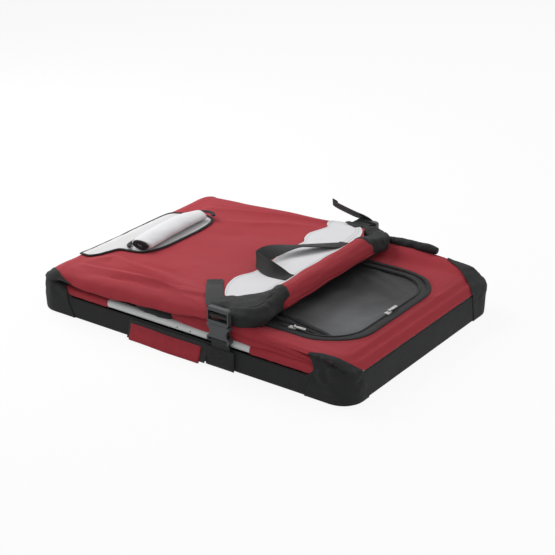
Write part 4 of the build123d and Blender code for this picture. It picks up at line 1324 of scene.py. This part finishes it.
# ---- front wall: a ring of red nylon round the mesh door, from the band's front edge to under the roll

front = {
    "door": {"x": 105.5, "y": -18.0, "halfX": 197.5, "halfY": 168.0, "bend": 85.0},
    "backX": -128.0,
    "frontX": 351.8,
    "nearTop": [
        (-130, 78), (60, 80), (138, 82), (180, 82), (222, 81), (262, 80), (290, 80), (314, 78), (328, 70),
        (342, 61), (353, 56)
    ],
    "farTop": [
        (-130, 78), (92, 86), (184, 90), (250, 87), (290, 82), (314, 79), (328, 70), (342, 62), (353, 56)
    ],
    "slope": [(-130, 76.2), (296, 76.2), (306, 75.4), (318, 73.4), (335, 66.0), (353, 56.4)],
    "folds": [
        ([(225, -205), (262, -190), (300, -150)], 12.0, 1.2),
        ([(303, 60), (320, 96), (332, 140)], 9.0, 1.4),
        ([(282, 120), (262, 165), (220, 190)], 10.0, 1.6),
    ],
}


def frontHeight(x, y):
    # height of the wall over the ground plan, with its raised sides
    z = tableAt(front["slope"], x)
    nearSide, farSide = eased((-y - 188) / 30), eased((y - 188) / 32)
    z += (tableAt(front["nearTop"], x) - z) * nearSide
    z += (tableAt(front["farTop"], x) - z) * farSide
    z -= 2.2 * hump((y - 158) / 46) * hump((x + 10) / 320)
    z += foldHeight(front["folds"], x, y) + ripple(x, y, 5, 60, 1.6) * (1 - eased((x - 300) / 40))
    # the ends of the drop over the edge are round
    return z - 4.0 * eased((-y - 231) / 8) - 5.0 * eased((y - 231) / 8)


def doorSpot(s, out=0.0):
    door = front["door"]
    x, y, outX, outY = roundedPath(door["halfX"], door["halfY"], door["bend"], s)
    return door["x"] + x + outX * out, door["y"] + y + outY * out, outX, outY


def frontWallCloth():
    halfY = 238.5

    def place(s, t):
        x, y, outX, outY = doorSpot(s)
        # along the outward way to the wall's edge
        reach = 1e9
        if outX > 0.001:
            reach = min(reach, (front["frontX"] - x) / outX)
        if outX < -0.001:
            reach = min(reach, (front["backX"] - x) / outX)
        if abs(outY) > 0.001:
            reach = min(reach, (math.copysign(halfY, outY) - y) / outY)
        far = reach * t**0.9
        x, y = x + outX * far, y + outY * far
        corner = max(abs(y) - 198, 0) * eased((x - 262) / 60)
        x -= corner * 0.42
        return (x, y, frontHeight(x, y) + 0.5)

    piece = cloth("frontWallCloth", 300, 40, place, thickness=1.3, facing=(0, 0, 1))
    dress(piece, "redNylon", None, ["front_wall", "front_apron"])
    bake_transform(piece)
    front["cloth"] = piece
    bpy.context.view_layer.update()
    line = []
    for n in range(201):
        x, y = doorSpot(n / 200, 13.0)[:2]
        line.append((x, y, frontHeight(x, y) + 0.8, 0, 0, 1))
    stitches("frontWallStitches", [line], "redThread", "front_frame", gap=4.6)


doorNet = {
    "folds": [
        ([(60, -150), (150, -160), (235, -168)], 5.0, 2.6),
        ([(60, -134), (140, -140), (210, -150)], 4.5, 3.0),
        ([(60, -112), (120, -120), (190, -128)], 5.0, 2.6),
        ([(120, 132), (190, 118), (250, 92), (284, 60)], 6.0, 3.4),
        ([(150, 100), (214, 84), (262, 52)], 7.0, 2.8),
        ([(270, -60), (282, -10), (286, 40)], 6.0, 2.2),
        ([(90, 60), (110, 0), (108, -70)], 16.0, 3.0),
    ],
    # the slack net lies in dark folds along the near edge
    "slack": {
        "Inner": [
            (118, -124, 73, 6, 2.6), (132, -129, 73.4, 6.4, 3.2), (160, -137, 73.4, 6.2, 3.4),
            (201, -145, 73.6, 5.4, 3.0), (232, -151, 74, 4.6, 2.4), (262, -159, 74.6, 3, 1.4),
        ],
        "Outer": [
            (104, -146, 73.6, 5, 2.4), (140, -151, 74, 5, 2.8), (176, -155, 74, 4.6, 2.8),
            (210, -159, 74.2, 4.2, 2.2), (240, -163, 74.8, 3, 1.4),
        ],
    },
}


def doorNetPieces():
    door = front["door"]

    def net(s, t):
        x, y = doorSpot(s)[:2]
        f = 0.015 + 0.985 * t
        x, y = door["x"] + (x - door["x"]) * f, door["y"] + (y - door["y"]) * f
        slack = 1 - f**2.6
        z = 74.6 - 9.0 * slack * (0.8 + 0.5 * noise.noise(Vector((x, y, 0)) / 90))
        z += foldHeight(doorNet["folds"], x, y) * min(1, slack * 3)
        z += ripple(x, y, 20, 26, 1.4) * min(1, slack * 4)
        return (x, y, z)

    piece = cloth("doorNet", 168, 44, net, thickness=0.7, joined=True)
    dress(piece, "blackMesh", "front_frame", ["door_mesh"])

    for word, line in doorNet["slack"].items():
        fold = roll("doorFold" + word, line, columns=110, rows=16, wrinkle=0.8, wrinkleSize=16, flatBelow=0.4)
        dress(fold, "blackBinding", "front_frame")


def doorZip():
    def tape(s, t):
        x, y = doorSpot(s, -17.0 + 18.0 * t)[:2]
        return (x, y, 75.6 + 0.5 * math.sin(t * math.pi) + ripple(x, y, 0, 30, 0.5))

    band = cloth("zipTape", 260, 10, tape, thickness=0.8, facing=(0, 0, 1))
    dress(band, "blackWebbing", "front_frame", ["zip_tape"])
    # the coil that both sliders run on
    line = []
    for n in range(96):
        x, y = doorSpot(n / 96, -13.6)[:2]
        line.append((x, y, 76.9))

    def coil(s, t):
        here, side, top = frameAt(line, s, (0, 0, 1), True)
        tooth = 1 + 0.16 * math.sin(s * 2 * math.pi * 330)
        turn = 2 * math.pi * t
        return here + side * 1.7 * math.cos(turn) * tooth + top * 1.0 * math.sin(turn) * tooth

    row = cloth("zipCoil", 1320, 6, coil, thickness=0.0, joined=True)
    dress(row, "zipCoil", "front_frame")


def doorBound():
    edge = []
    for n in range(96):
        x, y = doorSpot(n / 96, 2.6)[:2]
        edge.append((x, y, frontHeight(x, y) + 1.2 + ripple(x, y, 9, 40, 0.5), 4.2, 1.7))
    bound = roll("doorBinding", edge, columns=300, rows=14, closed=True)
    dress(bound, "blackBinding", "front_frame", ["door_binding"])


frontWallCloth()
for name, facts in cornerPatches.items():
    cornerPatch(name, facts)
doorNetPieces()
doorZip()
doorBound()
print("front wall and door laid")

# ---- the front frame's wrapped legs and back bar, and the black roll on the far side

wraps = {
    # along the leg: x, outer y, inner y, bottom z, top z
    "near": [
        (-33, 236, 214, 54, 70), (-20, 238, 213, 52, 74), (0, 240, 211, 50, 78), (20, 241, 210, 48, 81.5),
        (46, 241.5, 210, 47, 85), (80, 241.5, 210, 47, 87),
        (110, 241.5, 210, 47, 88), (138, 241.5, 210, 47, 87), (180, 241, 210, 48, 83),
        (222, 240.5, 210, 48, 80.5), (259, 240, 211, 49, 74), (290, 239, 213, 50, 68),
        (304, 237, 215, 52, 64),
    ],
    "far": [
        (-33, 232, 212, 56, 76), (20, 236, 210, 53, 82), (60, 237, 208, 52, 86), (92, 237, 207, 52, 88),
        (140, 237, 206, 52, 90), (184, 237, 206, 52, 90),
        (230, 237, 207, 52, 86), (268, 237, 208, 52, 81), (290, 236, 211, 53, 76), (304, 234, 214, 54, 70),
    ],
}


def frontLegWraps():
    for word, side in (("near", -1), ("far", 1)):
        def place(s, t, rows=wraps[word], side=side):
            x, outer, inner, low, high = smoothLine(rows, s)
            middle, half = (outer + inner) / 2, (outer - inner) / 2
            z, tall = (low + high) / 2, (high - low) / 2
            turn = 2 * math.pi * t
            a, b = math.cos(turn), math.sin(turn)
            # fuller than an ellipse above, drawn in below beside the base tube
            fat = (abs(a) ** 3 + abs(b) ** 3) ** (-1 / 3)
            y = middle + half * a * fat
            h = tall * b * fat
            y -= 7.0 * eased(-(z + h - 60) / 8) * max(a, 0)
            # the seam lies in a groove on the outer side
            seam = z + tall * 0.18
            if a > 0:
                y -= 2.2 * math.exp(-(((z + h - seam) / 1.8) ** 2)) * eased((x - 60) / 40)
            push = ripple(x * 0.45, y, z + h, 16, 1.5) + ripple(x, side * 3, h, 42, 1.4)
            return (x, side * (y + push * a), z + h + push * b)

        piece = cloth("frontLegWrap" + word.capitalize(), 150, 60, place, thickness=1.2, joined=True)
        dress(
            piece, "redNylon", "front_frame", ["front_leg_sleeve_" + word, "side_fold_" + word]
        )


wrapRolls = {
    # middle, half width and half height of the gathered black cloth at two spots on the wraps
    "nearLegBlackWrap": [
        (-120, -226, 62, 8, 6), (-104, -231, 62, 9, 9), (-80, -233, 62, 9, 10),
        (-56, -233, 61, 9, 10), (-38, -230, 60, 9, 9), (-24, -224, 60, 7, 7),
    ],
    "sideRollFar": [
        (96, 228, 91, 8, 6), (114, 230, 91, 8.5, 7.5), (140, 232, 92.5, 9, 9), (170, 233, 94, 9, 9.4),
        (205, 233, 95, 9, 9.4), (226, 233.5, 95, 8.5, 8.6), (240, 234, 94, 7, 6),
    ],
}


def frontBarSleeve():
    path = [(-140 + 0.4 * math.sin(n), -176 + 352 * n / 12, 68, 9.8, 9.7) for n in range(13)]
    bar = roll("frontBarSleeve", path, columns=120, rows=26, wrinkle=0.7, wrinkleSize=16, ends="flat")
    dress(bar, "redNylon", "front_frame", ["front_bar_sleeve"])


def nearWrapLining():
    # pale lining shows in the near wrap's open end
    path = []
    for n in range(16):
        turn = 2 * math.pi * n / 16
        path.append((-33.5, -224 + 10.5 * math.cos(turn), 62 + 8.6 * math.sin(turn), 1.5, 1.5))
    lip = roll("nearWrapLining", path, columns=64, rows=8, up=(1, 0, 0), closed=True)
    dress(lip, "paleLining", "front_frame")


def blackWraps():
    black = roll(
        "nearLegBlackWrap", wrapRolls["nearLegBlackWrap"], columns=80, rows=34, wrinkle=1.6, wrinkleSize=12
    )
    dress(black, "blackNylon", "front_frame")
    far = roll("sideRollFar", wrapRolls["sideRollFar"], columns=110, rows=40, wrinkle=2.0, wrinkleSize=15)
    dress(far, "blackNylon", "front_frame", ["side_roll_far"])


frontLegWraps()
frontBarSleeve()
nearWrapLining()
blackWraps()
print("legs wrapped")

# ---- side walls, folded down into the tray in pleats

pleats = {
    # across the tray from the leg inwards: distance from the middle, height
    "section": [
        (229, 36), (226, 20), (218, 9), (196, 8.5), (166, 9), (140, 10), (132, 14), (140, 18.5), (170, 18),
        (205, 19), (215, 23), (205, 27.5), (172, 27), (142, 28), (135, 32), (143, 36), (172, 36.5), (206, 38),
        (222, 40.5)
    ],
}


def sideWalls():
    for word, side in (("Near", -1), ("Far", 1)):
        def place(s, t, side=side):
            y, z = smoothLine(pleats["section"], t)
            x = -292 + 584 * s
            soft = ripple(x, y * side, t * 160, 55, 5.0) + ripple(x, y, t * 300, 20, 1.0)
            return (x, side * (y + 0.8 * soft), max(z + 0.42 * soft * hump(t), 7.4))

        piece = cloth("sideWall" + word, 110, 90, place, thickness=0.9, facing=(0, 0, 1))
        dress(piece, "blackNylon", "base", ["side_wall_" + word.lower()])


sideWalls()
print("side walls folded")

# ---- side straps: webbing up from under the tray to the buckles, and down to them from the rear wall

straps = {
    "near": {
        "x": 88.0, "side": -1, "drop": 0.0, "sewn": 22, "loopNode": "strap_loop_near",
        "upper": [
            (-8, -140, 2.6, 12.2, 8.6), (2, -155, 2.8, 12.4, 8.6), (20, -179, 3.0, 12.8, 8.6),
            (42, -207, 3.2, 14.0, 8.4), (63, -229, 3.4, 16.6, 6.6),
        ],
    },
    "far": {
        "x": 68.0, "side": 1, "drop": 8.0, "sewn": 7, "loopNode": "strap_tail_far",
        "upper": [
            (52, 213, 4.0, 15.4, -6.0), (54, 217, 4.2, 16.2, -5.6), (56, 221, 4.2, 17.0, -5.2),
            (58, 225, 4.2, 18.0, -5.0), (62, 232, 3.8, 18.6, -4.0)
        ],
    },
}


# the lower webbing, from under the tray up to the buckle's bar and down again: outwards, height
lowerRun = [
    (246.2, 0.9), (248.6, 2.0), (249.3, 6), (249.4, 20), (249.4, 34), (249.5, 46), (249.9, 54), (250.3, 59),
    (252.0, 61.6),
    (254.6, 61.6), (256.6, 59.2), (256.4, 55.4), (254.0, 51), (251.8, 46), (251.3, 36), (251.2, 22),
    (251.2, 16),
]
strapTail = {
    "run": [
        (68, 257.6, 98, 12.3, 0, 0), (68, 259.4, 104, 12.0, -1, 1), (65, 260.0, 110, 10.5, -3.0, 4),
        (54, 258.5, 114.5, 7.5, -5.5, 7), (38, 256, 118, 5.6, -7.0, 8.6), (20, 253.5, 123, 5.0, -7.2, 8.8),
        (2, 251, 128.5, 4.6, -7.4, 9.0), (-12, 249.5, 133.5, 4.4, -7.5, 9.1),
    ],
    "hem": [(-14, 249.3, 134.2, 4.4, -7.5, 9.1), (-2, 250.6, 129.8, 4.5, -7.4, 9.0)],
    "hemLift": (0.55, 0.9, 1.2, 0, 0, 0),
}


def lowerStrap(word, facts):
    x, side = facts["x"], facts["side"]
    name = "lowerStrap" + word.capitalize()
    run = [(x, side * y, z - (facts["drop"] if z > 40 else 0), 19.6, 0, 0) for y, z in lowerRun]
    piece = webbing(name, run, columns=120, thickness=1.5, rows=10)
    dress(piece, "blackWebbing", "base", ["lower_strap_" + word])
    box = sewnLines(boxAndCross(24, 18, 38), lambda a, p: (x + a, side * 253.7, p, 0, side, 0), 12)
    stitches(name + "Stitches", box, "blackThread", "base", gap=3.6, length=2.4)


def strapTab(word, facts):
    # a wider tab holds the webbing to the band
    x, side = facts["x"], facts["side"]

    def tab(s, t):
        z = 2.0 + 38.0 * t
        rim = max(abs(2 * s - 1) ** 8, (2 * t - 1) ** 8)
        return (x - 33 + 62 * s, side * (253.4 - 1.5 * rim + ripple(x + 40 * s, z, 2, 18, 0.7)), z)

    piece = cloth("strapTab" + word.capitalize(), 40, 28, tab, thickness=1.1, facing=(0, side, 0))
    dress(piece, "blackNylon", "base")


def upperStrap(word, facts):
    x, side, drop = facts["x"], facts["side"], facts["drop"]
    name = "upperStrap" + word.capitalize()
    run = [(*onWall(a, b, lift), ex, ey, 0) for a, b, lift, ex, ey in facts["upper"]]
    top = run[-1][2]
    over = (
        (243.5, top + 0.5), (249.0, top - 0.6), (251.0, top - 3.5), (251.2, 106.5 - drop),
        (251.0, 104.2 - drop)
    )
    for k, (y, z) in enumerate(over):
        run.append(
            (x - 5 + min(k, 2) * 2.5, side * y, min(z, 111.5), 18.6 + 0.2 * k, side * -max(3 - 2 * k, 0), 0)
        )
    piece = webbing(name, run, columns=110, thickness=1.5, rows=12, facing=(0, 0, 1))
    dress(piece, "blackWebbing", None, ["upper_strap_" + word])
    x * mm
    side * 0.236
    x * mm
    side * 0.2505
    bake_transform(piece)
    end, edge = Vector(run[0][:3]), Vector(run[0][3:6])
    way = (Vector(run[1][:3]) - end).normalized()

    def onStrap(across, along):
        spot = end + edge * across + way * along
        return (*onWall(spot.x, spot.y, 3.6), 0, 0, 1)

    sewn = sewnLines(boxAndCross(0.85, 2, facts["sewn"]), onStrap, 10)
    stitches(name + "Stitches", sewn, "blackThread", "rear_frame", gap=3.6, length=2.4)


def strapLoop(word, facts):
    # webbing round the plug's bar
    loop = []
    for n in range(15):
        turn = math.radians(150 + 290 * n / 14)
        y, z = 254.3 + 3.5 * math.cos(turn), 104.15 - facts["drop"] + 3.5 * math.sin(turn)
        loop.append((facts["x"], facts["side"] * y, z, 18.8, 0, 0))
    piece = webbing("strapLoop" + word.capitalize(), loop, columns=60, thickness=1.4)
    dress(piece, "blackWebbing", word + "_plug", [facts["loopNode"]])


def farStrapTail():
    piece = webbing("strapTailFar", strapTail["run"], columns=80, thickness=1.5)
    dress(piece, "blackWebbing", "far_plug")
    hem = [tuple(p + q for p, q in zip(row, strapTail["hemLift"])) for row in strapTail["hem"]]
    piece = webbing("strapTailHem", hem, columns=16, thickness=1.5)
    dress(piece, "blackWebbing", "far_plug")


for word, facts in straps.items():
    lowerStrap(word, facts)
    strapTab(word, facts)
    upperStrap(word, facts)
    strapLoop(word, facts)
farStrapTail()
print("straps run")

# ---- carrying grip: webbing on the near side with a padded red wrap

grip = {"middle": -33.0, "strapHalf": 89.5, "padRear": -118.0, "padLength": 162.0, "seam": 29.0}


def carryingGrip():
    hang = []
    for y, z in (
        (248.0, 38.0), (248.8, 35.5), (249.8, 32), (251.0, 26), (254.4, 16), (257.6, 8), (258.6, 5.4)
    ):
        hang.append((grip["middle"], -y, z, grip["strapHalf"], 0, 0))
    piece = webbing("gripStrap", hang, columns=40, thickness=1.5, rows=60, facing=(0, -1, 0))
    dress(piece, "blackWebbing", "side_grip", ["grip_strap"])

    def pad(s, t):
        # a flat cushion wrapped round the webbing, sagging a little at its middle
        x = grip["padRear"] + grip["padLength"] * s
        turn = 2 * math.pi * t
        a, b = math.cos(turn), math.sin(turn)
        fat = (abs(a) ** 2.6 + abs(b) ** 4) ** -0.28
        near = min(s, 1 - s) * grip["padLength"] / 4.5
        shut = math.sqrt(max(0.03, 1 - (1 - min(near, 1)) ** 2))
        y = -250.6 - 3.5 * a * fat * shut
        z = 16.2 + 0.8 * ripple(x, 0, 3, 60, 1.4) + 14.9 * b * fat * (0.93 + 0.07 * shut)
        z -= 0.72 * (x + 37) / 81
        y -= ripple(x, y, z, 14, 0.9) * max(a, 0) + ripple(x, z, 4, 40, 0.9) * max(a, 0)
        y -= 9.0 * eased((31 - z) / 34) ** 1.2
        return (x, y, max(z, 0.9))

    wrap = cloth("gripWrap", 120, 56, pad, thickness=0.0, joined=True)
    closedEnds()
    dress(wrap, "redNylon", "side_grip", ["grip_wrap"])
    seam = [(-115 + 156 * k / 50, -254.4, grip["seam"], 0, -1, 0) for k in range(51)]
    stitches("gripStitches", [seam], "redThread", "side_grip", gap=4.0)


carryingGrip()
print("grip made")

# ---- top handle: one loop of webbing folded sharply at its middle, sewn under tabs beside the roll

handle = {
    "path": [
        (106, -66, 113.0, 0, 13.4, 0.2), (96, -68, 113.8, 0, 13.4, 0.8), (84, -70, 116.5, 0.6, 12.0, 6.0),
        (64, -70.5, 121.5, 1.7, 8.2, 11.6), (43, -65, 123, 0, 6.5, 13.0), (27, -58.5, 124.2, -2.5, 5.5, 13.5),
        (21, -56, 124.6, -3.5, 5.0, 13.7), (20.5, -50, 124.4, -4.5, 4.8, 13.4),
        (19, -27, 123.6, -8.0, 3.6, 11.6), (20, 0, 122, -12.0, 3.6, 7.2), (27, 30, 120.5, -13.7, 4.2, 1.0),
        (38, 52, 119, -13.2, 4.4, -2.9),
        (55, 71, 117.5, -12.6, 6.4, -2.6), (75, 92, 115.5, -11.8, 8.0, -1.6),
        (92, 110, 113.8, -7.0, 11.4, -0.4), (102, 119, 113.2, -2.0, 13.2, 0),
    ],
    "tabs": {"Near": (95, -67.5), "Far": (94, 119.0)},
    "sewn": [
        (-8, -10, 8, -10), (8, -10, 8, 10), (8, 10, -8, 10), (-8, 10, -8, -10), (-8, -10, 8, 10),
        (-8, 10, 8, -10)
    ],
}


def handlePieces():
    loop = webbing(
        "topHandle", handle["path"], columns=200, thickness=1.6, rows=14, crown=0.7, facing=(0, 0, 1)
    )
    dress(loop, "blackWebbing", "top_handle", ["top_handle"])
    for word, (x, y) in handle["tabs"].items():
        def tab(s, t, x=x, y=y):
            a, b = x - 11 + 22 * s, y - 13 + 26 * t
            rim = max(abs(2 * s - 1), abs(2 * t - 1))
            return onWall(a, b, 2.4 + 0.8 * (1 - rim**6))

        piece = cloth("handleTab" + word, 22, 26, tab, thickness=1.3, facing=(0, 0, 1))
        dress(piece, "blackWebbing", "rear_frame", ["handle_tabs"] if word == "Near" else [])
        rows = sewnLines(handle["sewn"], lambda a, p: (*onWall(x + a, y + p, 3.5), 0, 0, 1), 10)
        stitches("handleTab" + word + "Stitches", rows, "blackThread", "rear_frame", gap=3.4, length=2.3)


handlePieces()
print("handle sewn")

# ---- hard parts carried over from the frame

hardParts = {
    "whiteTube": ["base_frame_front", "base_frame_rear", "front_frame_tube", "rear_frame_tube"],
    "zincSteel": [
        "frame_spigots", "frame_rivets", "front_hinge_ears", "rear_hinge_ears", "front_hinge_pins",
        "rear_hinge_pins"
    ],
    "bucklePlastic": ["buckle_socket_near", "buckle_socket_far", "buckle_plug_near", "buckle_plug_far"],
    "zipMetal": ["zip_slider_near", "zip_slider_front", "zip_pull_near", "zip_pull_front"],
}
for finish, nodes in hardParts.items():
    for node in nodes:
        part = bpy.data.objects[node]
        part.data.materials.clear()
        part.data.materials.append(finishes[finish])
print("hard parts finished")
